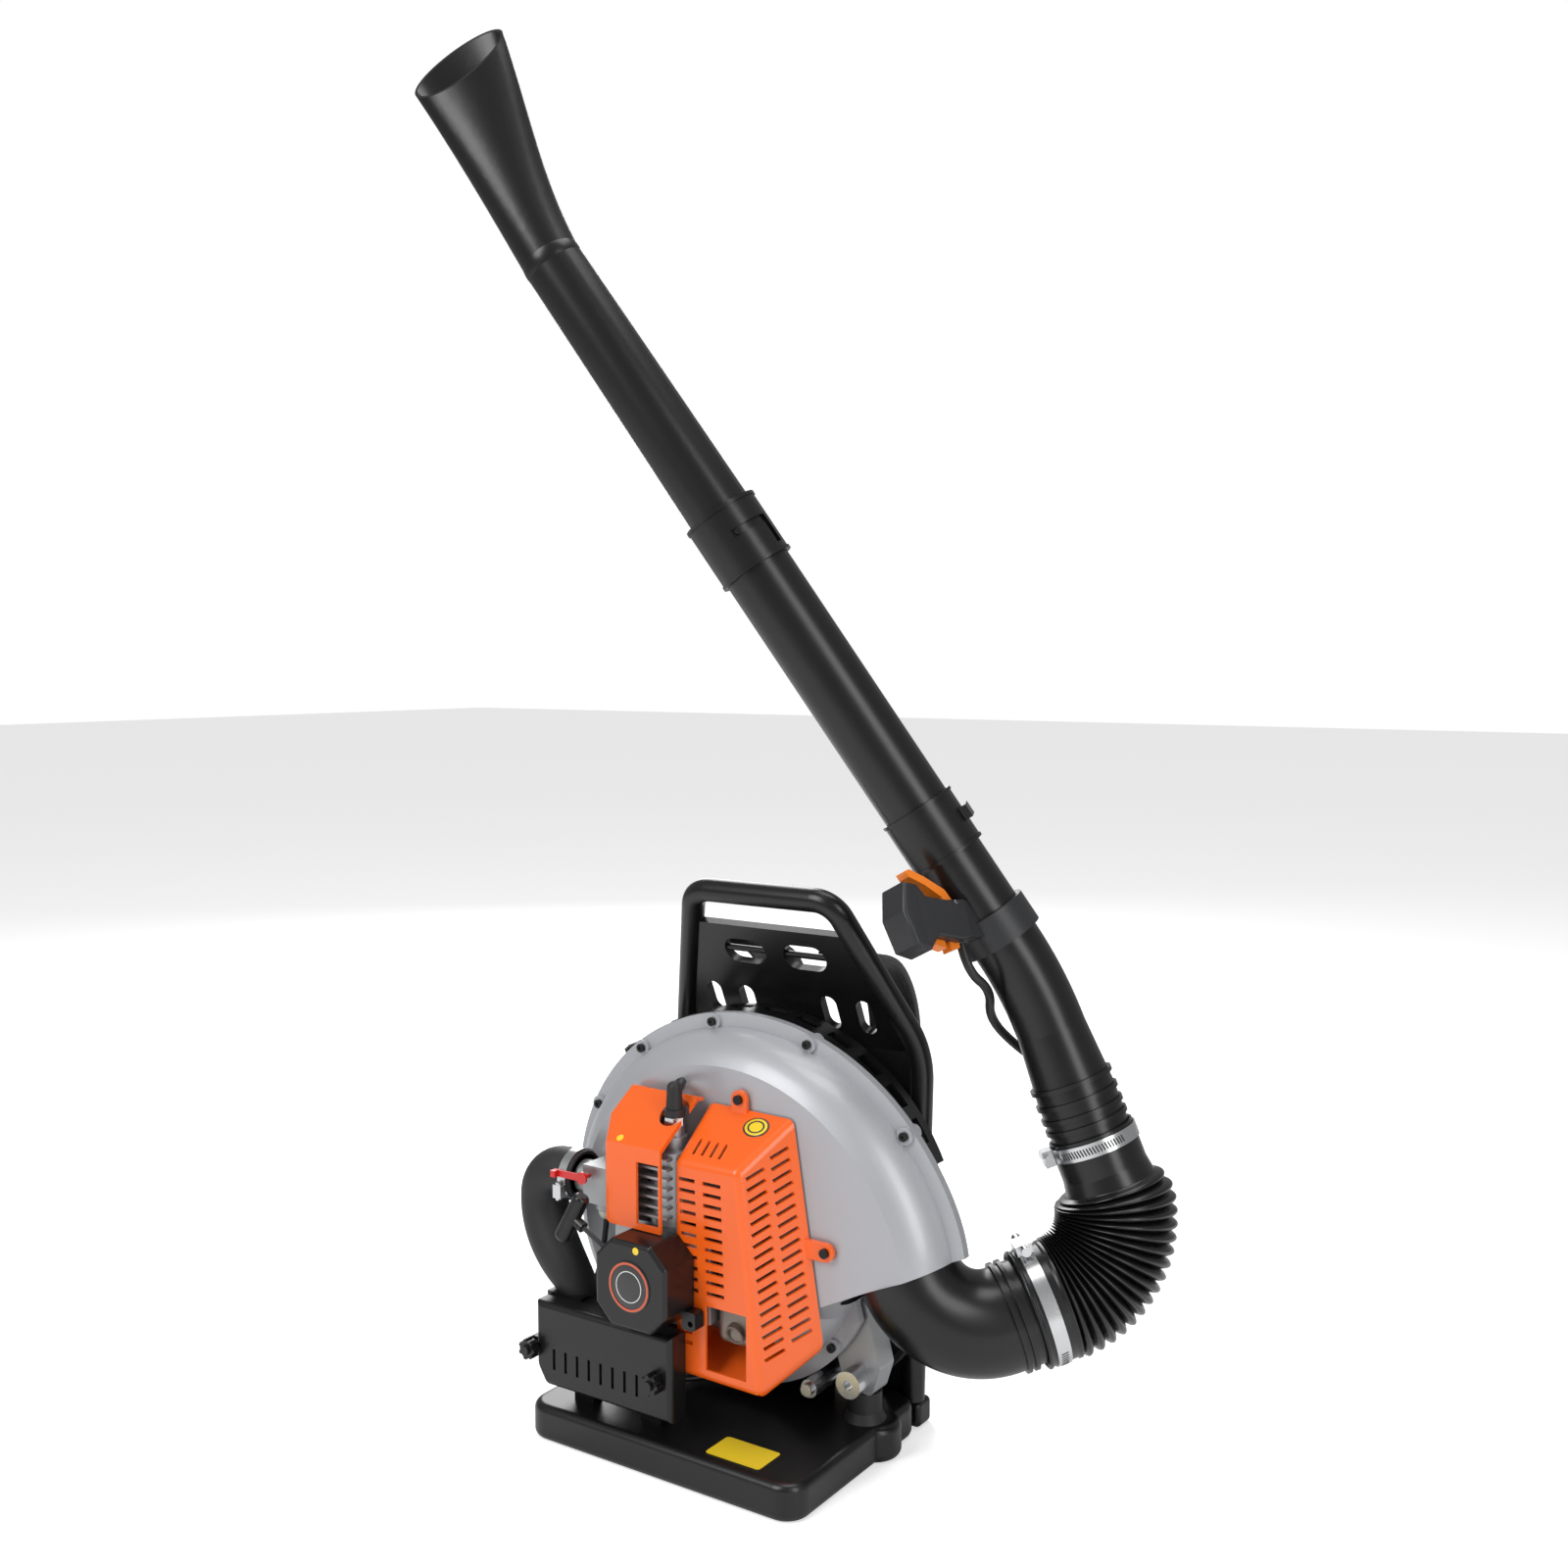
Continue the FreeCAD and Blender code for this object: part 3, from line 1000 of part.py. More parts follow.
swivel_ribs = [Part.makeCylinder(SWIVEL_R + 2.2, 4, UPPER_CLAMP + CLAMP_DIR * d, CLAMP_DIR)
               for d in (16, 26, 38, 52)]
swivel_ribs.append(Part.makeCylinder(2.2, 6.4, VERTEX + WAND_DIR * 152 + WAND_DIR.cross(X).normalize() *
                                     (PIPE_R - 2), WAND_DIR.cross(X)))
swivel = swivel_solid(PIPE_R, SWIVEL_R, 0, SWIVEL_TOP).multiFuse(swivel_ribs).cut(
    swivel_solid(PIPE_IN, SWIVEL_R - 3, 1, SWIVEL_TOP + 1))
node("swivel_tube", feature(swivel))

GRIP_AT = 60.0
RING_AT = VERTEX + WAND_DIR * GRIP_AT
GRIP_DIR = Vector(-0.297, -0.943, 0.146).normalize()
SIDE_DIR = WAND_DIR.cross(GRIP_DIR).normalize()
UP_DIR = GRIP_DIR.cross(SIDE_DIR).normalize()
UP_DIR = UP_DIR if UP_DIR.dot(WAND_DIR) > 0 else UP_DIR * -1
RING_OUT = PIPE_R + 5


def grip_prism(points, low, high):
    """Outline in the grip's own plane (along the grip, towards the tip), with side limits."""
    corners = [RING_AT + GRIP_DIR * a + UP_DIR * b + SIDE_DIR * low for a, b in points]
    return Part.Face(Part.makePolygon(corners + corners[:1])).extrude(SIDE_DIR * (high - low))


ring_tube = Part.makeCylinder(RING_OUT, 28, RING_AT - WAND_DIR * 14, WAND_DIR)
ring_hole = Part.makeCylinder(PIPE_R, 40, RING_AT - WAND_DIR * 20, WAND_DIR)
ring_tab = grip_prism([(-42, -8), (-30, -8), (-30, 12), (-42, 12)], -7, 7)
GRIP_OUTLINE = [(44, -17), (58, -20), (84, -17), (96, -30), (112, -26), (119, 2), (112, 28),
                (98, 27), (90, 17), (66, 15), (44, 17)]
neck_block = grip_prism([(26, -15), (44, -17), (44, 16), (26, 15)], -12, 12)
swivel_block = swivel_solid(PIPE_R, SWIVEL_R, 0, SWIVEL_TOP)
node("handle_clamp", feature(ring_tube.multiFuse([ring_tab, neck_block]).cut([ring_hole, swivel_block])))
shell_all = grip_prism(GRIP_OUTLINE, -15, 15)
shell_all = shell_all.makeFillet(3.5, [e for e in shell_all.Edges if not along(SIDE_DIR)(e)])
trigger_room = grip_prism([(50, 8), (92, 8), (92, 40), (50, 40)], -6.4, 6.4)
switch_room = grip_prism([(70, -30), (84, -30), (84, -9), (70, -9)], -5.5, 5.5)
lock_room = grip_prism([(54, -30), (66, -30), (66, -9), (54, -9)], -5.5, 5.5)
pin_hole = Part.makeCylinder(2, 40, RING_AT + GRIP_DIR * 57 + UP_DIR * 13 - SIDE_DIR * 20, SIDE_DIR)
shell_all = shell_all.cut([trigger_room, switch_room, lock_room, pin_hole, swivel_block])
right_half = Part.makeBox(200, 200, 100, Vector(-100, -100, 0))
right_half.Placement = Placement(RING_AT, facing(SIDE_DIR, GRIP_DIR)).multiply(right_half.Placement)
grip_right = shell_all.common(right_half)
grip_left = shell_all.cut(right_half)
node("grip_shell_right", feature(grip_right))
node("grip_shell_left", feature(grip_left))
pin_spot = RING_AT + GRIP_DIR * 57 + UP_DIR * 13
fasteners = [feature(Part.makeCylinder(2, 28, pin_spot - SIDE_DIR * 14, SIDE_DIR))]
TRIGGER = [(52, 10), (60, 10), (63, 20), (80, 30), (96, 36), (99, 41), (94, 43), (78, 37),
           (58, 27), (52, 18)]
trigger = grip_prism(TRIGGER, -5.9, 5.9).cut(
    Part.makeCylinder(2 + size("running_gap"), 40, pin_spot - SIDE_DIR * 20, SIDE_DIR))
node("throttle_trigger", feature(trigger))
node("stop_switch", feature(grip_prism([(70.5, -25), (83.5, -22), (83.5, -12), (70.5, -12)],
                                       -5, 5)))
node("throttle_lock", feature(grip_prism([(54.5, -24), (65.5, -27), (65.5, -12), (54.5, -12)],
                                         -5, 5)))
for a, b in ((62, -6), (90, 0)):
    spot = RING_AT + GRIP_DIR * a + UP_DIR * b - SIDE_DIR * 16.2
    fasteners.append(feature(Part.makeCylinder(2.8, 2.4, spot, SIDE_DIR)))
node("grip_fasteners", group(*fasteners))


# ---------------------------------------------------------------- lower pipe and nozzle

SOCKET_R = size("socket_radius")
GAP = size("socket_gap")
LOCK_FROM, LOCK_TO = 426.0, 484.0
PEG_DIR = Vector(0.62, -0.78, 0.05)
PEG_DIR = (PEG_DIR - WAND_DIR * PEG_DIR.dot(WAND_DIR)).normalize()


def on_wand(distance):
    return VERTEX + WAND_DIR * distance


def wand_cylinder(radius, start, end):
    return Part.makeCylinder(radius, end - start, on_wand(start), WAND_DIR)


lower = wand_cylinder(PIPE_R, SOCKET_HIGH - 2, LOCK_TO - 6)
socket = wand_cylinder(SOCKET_R, SOCKET_LOW, SOCKET_HIGH)
socket_rings = [wand_cylinder(SOCKET_R + 1.2, d, d + 3) for d in (SOCKET_LOW, SOCKET_HIGH - 3)]
rib = Part.makeBox(7, 26, 12, Vector(SOCKET_R - 2, -13, 4))
rib.Placement = Placement(on_wand(SOCKET_LOW + 14), facing(WAND_DIR, Vector(0.9, 0.4, 0.6)))
peg = Part.makeCylinder(2.6, 4.6, on_wand(LOCK_TO - 26) + PEG_DIR * (PIPE_R - 1), PEG_DIR)
lower = lower.multiFuse([socket, rib, peg] + socket_rings).cut(
    [wand_cylinder(PIPE_IN, SOCKET_HIGH - 6, LOCK_TO), wand_cylinder(PIPE_R + GAP, SOCKET_LOW - 1,
                                                                     SOCKET_HIGH - 6)])
slot_angle = 70.0
peg_swivel = WAND_DIR.cross(X).normalize()
slot_room = Part.makeCylinder(SOCKET_R + 4, 7, ORIGIN, Z, slot_angle)
slot_room.Placement = Placement(on_wand(148.5), facing(WAND_DIR, peg_swivel)).multiply(
    Placement(ORIGIN, Rotation(Z, -slot_angle + 8)))
node("lower_pipe", feature(lower.cut(slot_room)))

NOZZLE_BEND = 742.0
TIP_DIR = Vector(-0.42, -0.20, 0.885).normalize()
TIP_LENGTH = 214.0
WIDE = Vector(0.63, 0.47, 0.60)
WIDE = (WIDE - TIP_DIR * WIDE.dot(TIP_DIR)).normalize()
THIN = TIP_DIR.cross(WIDE).normalize()
THIN = THIN if THIN.y < 0 else THIN * -1
NECK_R = size("tip_radius")


def oval(distance, wide, thin, shift):
    """Oval section across the nozzle's flare."""
    centre = on_wand(NOZZLE_BEND) + TIP_DIR * distance + WIDE * shift
    major, minor = (wide, thin) if wide >= thin else (thin, wide)
    axis = WIDE if wide >= thin else THIN
    ellipse = Part.Ellipse(centre + axis * major, centre + axis.cross(TIP_DIR) * minor, centre)
    return Part.Wire([ellipse.toShape()])


KNEE_PROUD = 0.5        # the knee stands proud of both tubes, so that their surfaces cross


def nozzle_solid(wall, lip):
    straight = Part.makeCone(PIPE_R - 1.6 - wall, NECK_R - wall, NOZZLE_BEND - LOCK_TO + 2,
                             on_wand(LOCK_TO - 2), WAND_DIR)
    knee = Part.makeSphere(NECK_R - wall + KNEE_PROUD, on_wand(NOZZLE_BEND))
    sections = [(-1, NECK_R, NECK_R - 0.1, 0), (60, NECK_R + 3, NECK_R - 3, 0),
                (120, NECK_R + 10, NECK_R - 6, 3), (TIP_LENGTH + lip, NECK_R + 23, NECK_R - 8, 6)]
    flare = Part.makeLoft([oval(d, w - wall, t - wall, s) for d, w, t, s in sections], True, False)
    return straight.multiFuse([knee, flare])


nozzle = nozzle_solid(0, 0)
lock = wand_cylinder(SOCKET_R, LOCK_FROM, LOCK_TO)
lock_rings = [wand_cylinder(SOCKET_R + 1.2, d, d + 3) for d in (LOCK_FROM, LOCK_TO - 3)]
lock_slot = Part.makeCylinder(SOCKET_R + 4, 7, ORIGIN, Z, slot_angle)
lock_slot.Placement = Placement(on_wand(LOCK_TO - 29.5), facing(WAND_DIR, PEG_DIR)).multiply(
    Placement(ORIGIN, Rotation(Z, -8)))
lock_entry = Part.makeBox(SOCKET_R + 6, 7, 26, Vector(0, -3.5, -24))
lock_entry.Placement = Placement(on_wand(LOCK_TO - 26), facing(WAND_DIR, PEG_DIR)).multiply(
    Placement(ORIGIN, Rotation(Z, slot_angle - 14)))
nozzle = nozzle.multiFuse([lock] + lock_rings).cut(nozzle_solid(size("pipe_wall"), 4))
nozzle = nozzle.cut([wand_cylinder(PIPE_R + GAP, LOCK_FROM - 1, LOCK_TO - 4), lock_slot, lock_entry,
                     wand_cylinder(PIPE_R - 4, LOCK_TO - 6, LOCK_TO + 2)])
slant = Part.makeBox(200, 200, 80, Vector(-100, -100, 0))
lip_normal = (TIP_DIR * 0.65 + THIN * 0.75 - WIDE * 0.10).normalize()
lip_centre = on_wand(NOZZLE_BEND) + TIP_DIR * (TIP_LENGTH - 28)
slant.Placement = Placement(lip_centre, facing(lip_normal, WIDE)).multiply(slant.Placement)
node("nozzle_pipe", feature(nozzle.cut(slant)))


# ---------------------------------------------------------------- throttle cable

BEHIND = (Vector(0.15, 0.98, 0) - CLAMP_DIR * Vector(0.15, 0.98, 0).dot(CLAMP_DIR)).normalize()
LEFT = CLAMP_DIR.cross(BEHIND)
grip_exit = RING_AT + GRIP_DIR * 47 - UP_DIR * 18.8


def beside(spot, left, behind, distance):
    """Point beside the swivel tube, in the direction given by shares of LEFT and BEHIND."""
    return spot + (LEFT * left + BEHIND * behind).normalize() * distance


upper_route = [grip_exit, grip_exit - UP_DIR * 24,
               beside(RING_AT + GRIP_DIR * 45 - WAND_DIR * 64, 0.86, -0.5, 8),
               beside(ARC_START + CLAMP_DIR * 26, 0.86, -0.5, 47),
               beside(ARC_START - CLAMP_DIR * 12, 0.98, 0.2, 47),
               beside(UPPER_CLAMP + CLAMP_DIR * 54, 0.7, 0.7, 48),
               beside(UPPER_CLAMP + CLAMP_DIR * 20, 0.25, 1.0, 49)]
node("cable_upper", cord_tube("cable_upper", upper_route, size("cable_radius")))
UPPER_END = upper_route[-1]
END_DIR = Vector(UPPER_END - upper_route[-2]).normalize()
CLIP = Vector(166, 86, 92)
CLIP_DIR = Vector(-0.684, -0.729, 0).normalize()
middle_route = [UPPER_END + END_DIR * 0.4, UPPER_END + END_DIR * 36, Vector(308, 206, 226),
                Vector(290, 206, 182), Vector(262, 184, 142), Vector(228, 156, 110),
                CLIP - CLIP_DIR * 44, CLIP]
node("cable_middle", cord_tube("cable_middle", middle_route, size("cable_radius")))
lower_route = [CLIP + CLIP_DIR * 0.4, CLIP + CLIP_DIR * 22, Vector(134, 72, 73), Vector(116, 78, 53),
               Vector(90, 78, 41.5), Vector(56, 74, 38.5), Vector(22, 64, 37.5), Vector(-10, 42, 37),
               Vector(-36, 10, 37.5), Vector(-57, -20, 41), Vector(-78, -36, 55), Vector(-89, -40, 84),
               Vector(-91, -37, 122), Vector(-89, -36, 166), Vector(-84, -38.5, 211)]
node("cable_lower", cord_tube("cable_lower", lower_route, size("cable_radius") - 1))
cable_clip = ring(6, 3.02, 8, Placement(CLIP + CLIP_DIR * 3, facing(CLIP_DIR, Z)))
node("band_clamps", group(duct_clamp, cable_clip))


# ---------------------------------------------------------------- checks and files

doc.recompute()
if len(NODES) > 60:
    raise RuntimeError(f"{len(NODES)} sub-parts, and 60 is the limit")
for obj in doc.Objects:
    if "Invalid" in obj.State or "Error" in obj.State:
        raise RuntimeError(f"{obj.Name} ({obj.Label}) failed: {obj.State}")
for obj in NODES:
    shape = obj.Shape
    if shape.isNull() or not shape.isValid() or not shape.Solids:
        raise RuntimeError(f"{obj.Label} has no valid shape")
os.makedirs("parts", exist_ok=True)
for obj in NODES:
    obj.Shape.exportStep(f"parts/{obj.Label}.step")
    limits = obj.Shape.BoundBox
    print(f"{obj.Label:22s} {len(obj.Shape.Solids):3d} {obj.Shape.Volume / 1000:9.1f} cm3",
          [round(v) for v in (limits.XMin, limits.YMin, limits.ZMin, limits.XMax, limits.YMax,
                              limits.ZMax)])
print(len(NODES), "sub-parts")
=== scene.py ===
"""Looks of a petrol backpack leaf blower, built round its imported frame."""

import json
import math

import bpy
from mathutils import Matrix, Vector
from mathutils.bvhtree import BVHTree

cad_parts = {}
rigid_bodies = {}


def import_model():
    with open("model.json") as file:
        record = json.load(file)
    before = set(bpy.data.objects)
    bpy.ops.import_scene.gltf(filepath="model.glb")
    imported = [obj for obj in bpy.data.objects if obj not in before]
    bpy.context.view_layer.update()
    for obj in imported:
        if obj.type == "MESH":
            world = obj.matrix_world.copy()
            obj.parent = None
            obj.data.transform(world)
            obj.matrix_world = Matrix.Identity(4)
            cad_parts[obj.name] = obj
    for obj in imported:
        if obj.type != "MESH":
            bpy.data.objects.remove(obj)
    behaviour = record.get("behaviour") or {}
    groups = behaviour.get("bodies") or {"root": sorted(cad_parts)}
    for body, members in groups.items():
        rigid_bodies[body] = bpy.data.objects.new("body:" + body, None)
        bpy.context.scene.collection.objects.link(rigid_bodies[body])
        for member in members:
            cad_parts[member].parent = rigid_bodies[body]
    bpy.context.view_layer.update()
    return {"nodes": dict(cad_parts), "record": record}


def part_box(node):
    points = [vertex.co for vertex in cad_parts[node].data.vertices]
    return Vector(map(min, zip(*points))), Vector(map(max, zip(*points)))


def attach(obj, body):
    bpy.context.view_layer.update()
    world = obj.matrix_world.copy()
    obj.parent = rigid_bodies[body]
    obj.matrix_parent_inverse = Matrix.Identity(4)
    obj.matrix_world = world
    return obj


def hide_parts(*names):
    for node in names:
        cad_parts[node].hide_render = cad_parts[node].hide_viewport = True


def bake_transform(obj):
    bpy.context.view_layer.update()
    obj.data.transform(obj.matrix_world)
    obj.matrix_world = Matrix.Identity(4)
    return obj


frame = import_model()

bl_info = {
    "name": "Backpack leaf blower looks",
    "version": (1, 0, 0),
    "blender": (4, 5, 0),
    "location": "View3D > Sidebar > Blower",
    "description": "Finishes, bellows hose, cables, harness and labels of a backpack leaf blower",
    "category": "Object",
}

MM = 0.001
X, Y, Z = Vector((1, 0, 0)), Vector((0, 1, 0)), Vector((0, 0, 1))


def mm(x, y, z):
    """A point of the frame, given in millimetres."""
    return Vector((x, y, z)) * MM


# Places of the air path, of the rope and of the cables, as the frame has them
HOSE_DIR = Vector((0.7113, 0.6271, 0.3175)).normalized()
CLAMP_DIR = Vector((-0.3649, -0.089, 0.9268)).normalized()
HOSE_START = mm(283.10, 90.23, 157.33)
BEND_RADIUS = 74 * MM
LOW_CUFF, CONE, TOP_CUFF = 30 * MM, 12 * MM, 34 * MM
LOW_CUFF_R, TOP_CUFF_R = 49 * MM, 37 * MM
ROPE_START, ROPE_END = mm(-38, -104.7, 184.8), mm(-80.6, -103, 206)
FAN_X, FAN_Z = -15 * MM, 168 * MM
CABLE_UPPER = [
    mm(*p) for p in (
        (208.1, 50.4, 456.5), (217.7, 44.1, 435.4), (226.1, 70.6, 416.6), (209.9, 98.9, 384.8),
        (222.1, 135.6, 352.1), (248.1, 161.1, 328.4), (282.2, 174.4, 306.4))
]
CABLE_MIDDLE = [
    mm(*p) for p in (
        (282.6, 174.5, 306.2), (311.0, 185.6, 287.9), (308, 206, 226), (290, 206, 182),
        (262, 184, 142), (228, 156, 110), (196.1, 118.1, 92), (166, 86, 92))
]
CABLE_LOWER = [
    mm(*p) for p in (
        (165.7, 85.7, 92), (151, 70, 92), (134, 72, 73), (116, 78, 53), (90, 78, 41.5), (56, 74, 38.5),
        (22, 64, 37.5), (-10, 42, 37), (-36, 10, 37.5), (-57, -20, 41), (-78, -36, 55), (-89, -40, 84),
        (-91, -37, 122), (-89, -36, 166), (-84, -38.5, 211))
]
FUEL_LINE = [
    mm(*p) for p in (
        (-148, 82, 122.8), (-151, 76, 104), (-155, 52, 90), (-156, 24, 84), (-152, -4, 90),
        (-138, -28, 104), (-121, -31, 128), (-110, -33, 166), (-101.5, -39, 210.6))
]
IGNITION_LEAD = [
    mm(*p) for p in (
        (-15, -47, 321), (-19, -30, 327), (-35, -26, 319), (-48, -26, 299), (-53, -27, 273),
        (-54, -29.5, 243.5))
]
STRAP_LINE = [(97.5, 427.5), (172, 397.5), (200.5, 290), (180.5, 150), (128, 67.5)]   # y, z in mm


# ---------------------------------------------------------------- sizes and colours a user may change

class BlowerSizes(bpy.types.PropertyGroup):
    ripples: bpy.props.IntProperty(
        name="Ripples", description="Convolutions of the bellows hose", default=17, min=6, max=40)
    ripple_depth: bpy.props.FloatProperty(
        name="Ripple depth", description="From the top of a ripple to its valley",
        default=7.5 * MM, unit="LENGTH")
    pad_pressure: bpy.props.FloatProperty(
        name="Pad pressure", description="Pressure that fills the back pad", default=4.0)
    pad_limit: bpy.props.FloatProperty(
        name="Pad swell limit", description="How far the pad's cover may move", default=7 * MM,
        unit="LENGTH")
    webbing: bpy.props.FloatProperty(
        name="Webbing width", description="Width of the harness webbing", default=30 * MM,
        unit="LENGTH")


class BlowerColours(bpy.types.PropertyGroup):
    shell: bpy.props.FloatVectorProperty(
        name="Shell", description="Engine covers", subtype="COLOR", size=3, default=(0.90, 0.125, 0.006))
    volute: bpy.props.FloatVectorProperty(
        name="Volute", description="Paint of the fan housing", subtype="COLOR", size=3,
        default=(0.42, 0.43, 0.455))
    black: bpy.props.FloatVectorProperty(
        name="Black plastic", description="Frame, base, tubes and housings", subtype="COLOR", size=3,
        default=(0.0050, 0.0050, 0.0055))
    lever: bpy.props.FloatVectorProperty(
        name="Lever", description="Choke lever", subtype="COLOR", size=3, default=(0.62, 0.012, 0.010))
    trigger: bpy.props.FloatVectorProperty(
        name="Trigger", description="Throttle trigger", subtype="COLOR", size=3,
        default=(0.90, 0.22, 0.01))
    label: bpy.props.FloatVectorProperty(
        name="Label", description="Blank label on the base", subtype="COLOR", size=3,
        default=(0.87, 0.62, 0.02))


# ---------------------------------------------------------------- shader groups

def new_group(name, inputs, outputs):
    """A shader node group with named sockets, and its input and output nodes."""
    group = bpy.data.node_groups.new(name, "ShaderNodeTree")
    for label, kind, default in inputs:
        socket = group.interface.new_socket(name=label, in_out="INPUT", socket_type=kind)
        socket.default_value = default
    for label, kind in outputs:
        group.interface.new_socket(name=label, in_out="OUTPUT", socket_type=kind)
    return group, group.nodes.new("NodeGroupInput"), group.nodes.new("NodeGroupOutput")


def add(tree, kind, **values):
    """A node with properties and input values set, by the names given."""
    made = tree.nodes.new(kind)
    for name, value in values.items():
        if name in made.bl_rna.properties:
            setattr(made, name, value)
        else:
            made.inputs[name].default_value = value
    return made


def maths(tree, operation, first, second):
    """A Math node of two inputs, each a socket or a number."""
    made = add(tree, "ShaderNodeMath", operation=operation)
    for socket, value in zip(made.inputs, (first, second)):
        if isinstance(value, (int, float)):
            socket.default_value = value
        else:
            tree.links.new(value, socket)
    return made.outputs[0]


def grain_group():
    """Fine moulded or cast texture, with a slow change of shade over the part."""
    group, given, out = new_group(
        "Surface grain",
        [("Scale", "NodeSocketFloat", 600.0), ("Depth", "NodeSocketFloat", 0.5)],
        [("Height", "NodeSocketFloat"), ("Shade", "NodeSocketFloat")])
    place = add(group, "ShaderNodeTexCoord")
    fine = add(group, "ShaderNodeTexNoise", Detail=3.0, Roughness=0.6)
    slow = add(group, "ShaderNodeTexNoise", Scale=9.0, Detail=4.0, Roughness=0.55)
    for noise in (fine, slow):
        group.links.new(place.outputs["Object"], noise.inputs["Vector"])
    group.links.new(given.outputs["Scale"], fine.inputs["Scale"])
    group.links.new(maths(group, "MULTIPLY", fine.outputs[0], given.outputs["Depth"]),
                    out.inputs["Height"])
    group.links.new(slow.outputs[0], out.inputs["Shade"])
    return group


def wear_group():
    """Colour with a slow change of tone and a trace of dust on what faces up, and its roughness."""
    group, given, out = new_group(
        "Handled finish",
        [("Colour", "NodeSocketColor", (0.5, 0.5, 0.5, 1)), ("Shade", "NodeSocketFloat", 0.5),
         ("Contrast", "NodeSocketFloat", 0.12), ("Roughness", "NodeSocketFloat", 0.4),
         ("Dust", "NodeSocketFloat", 0.03)],
        [("Colour", "NodeSocketColor"), ("Roughness", "NodeSocketFloat")])
    shape = add(group, "ShaderNodeNewGeometry")
    split = add(group, "ShaderNodeSeparateXYZ")
    group.links.new(shape.outputs["Normal"], split.inputs[0])
    upward = maths(group, "MAXIMUM", split.outputs["Z"], 0.0)
    dusty = maths(group, "MULTIPLY", maths(group, "MULTIPLY", upward, given.outputs["Shade"]),
                  given.outputs["Dust"])
    centred = maths(group, "SUBTRACT", given.outputs["Shade"], 0.5)
    value = maths(group, "ADD", maths(group, "MULTIPLY", centred, given.outputs["Contrast"]), 1.0)
    tone = add(group, "ShaderNodeHueSaturation")
    group.links.new(value, tone.inputs["Value"])
    group.links.new(given.outputs["Colour"], tone.inputs["Color"])
    dust = add(group, "ShaderNodeMix", data_type="RGBA")
    dust.inputs["B"].default_value = (0.45, 0.43, 0.40, 1)
    group.links.new(dusty, dust.inputs["Factor"])
    group.links.new(tone.outputs["Color"], dust.inputs["A"])
    group.links.new(dust.outputs["Result"], out.inputs["Colour"])
    rough = maths(group, "ADD", given.outputs["Roughness"],
                  maths(group, "MULTIPLY", centred, given.outputs["Contrast"]))
    group.links.new(maths(group, "ADD", rough, maths(group, "MULTIPLY", dusty, 2.0)),
                    out.inputs["Roughness"])
    return group


def weave_group():
    """Over-and-under threads, with their height and where they show light."""
    group, given, out = new_group(
        "Weave", [("Threads", "NodeSocketFloat", 900.0)],
        [("Height", "NodeSocketFloat"), ("Light", "NodeSocketFloat")])
    place = add(group, "ShaderNodeTexCoord")
    split = add(group, "ShaderNodeSeparateXYZ")
    group.links.new(place.outputs["Object"], split.inputs[0])
    across = maths(group, "MULTIPLY", split.outputs["X"], given.outputs["Threads"])
    depth = maths(group, "MULTIPLY", split.outputs["Y"], given.outputs["Threads"])
    rise = maths(group, "MULTIPLY", split.outputs["Z"], given.outputs["Threads"])
    warp = maths(group, "SINE", maths(group, "ADD", across, depth), 0.0)
    weft = maths(group, "SINE", maths(group, "ADD", rise, depth), 0.0)
    height = maths(group, "ADD", maths(group, "MULTIPLY", maths(group, "MULTIPLY", warp, weft), 0.5), 0.5)
    group.links.new(height, out.inputs["Height"])
    # Light is where the thread tops get a painted highlight: the same as the height
    group.links.new(height, out.inputs["Light"])
    return group


GRAIN, WEAR, WEAVE = grain_group(), wear_group(), weave_group()


# ---------------------------------------------------------------- finishes

def bare_material(name):
    made = bpy.data.materials.new(name)
    made.use_nodes = True
    return made, made.node_tree, made.node_tree.nodes["Principled BSDF"]


def moulded(name, colour, roughness, grain=700.0, depth=0.4, contrast=0.12, dust=0.02, coat=0.0,
            metallic=0.0, bump=0.00012, **extra):
    """Plastic, rubber, paint or metal: colour and roughness from the wear group, bump from the grain."""
    made, tree, shader = bare_material(name)
    grained = add(tree, "ShaderNodeGroup", node_tree=GRAIN)
    grained.inputs["Scale"].default_value = grain
    grained.inputs["Depth"].default_value = depth
    worn = add(tree, "ShaderNodeGroup", node_tree=WEAR)
    for label, value in (("Colour", (*colour, 1)), ("Contrast", contrast), ("Roughness", roughness),
                         ("Dust", dust)):
        worn.inputs[label].default_value = value
    relief = add(tree, "ShaderNodeBump", Strength=0.5, Distance=bump)
    tree.links.new(grained.outputs["Shade"], worn.inputs["Shade"])
    tree.links.new(grained.outputs["Height"], relief.inputs["Height"])
    tree.links.new(worn.outputs["Colour"], shader.inputs["Base Color"])
    tree.links.new(worn.outputs["Roughness"], shader.inputs["Roughness"])
    tree.links.new(relief.outputs["Normal"], shader.inputs["Normal"])
    shader.inputs["Metallic"].default_value = metallic
    shader.inputs["Coat Weight"].default_value = coat
    shader.inputs["Coat Roughness"].default_value = 0.12
    for label, value in extra.items():
        shader.inputs[label.replace("_", " ")].default_value = value
    return made


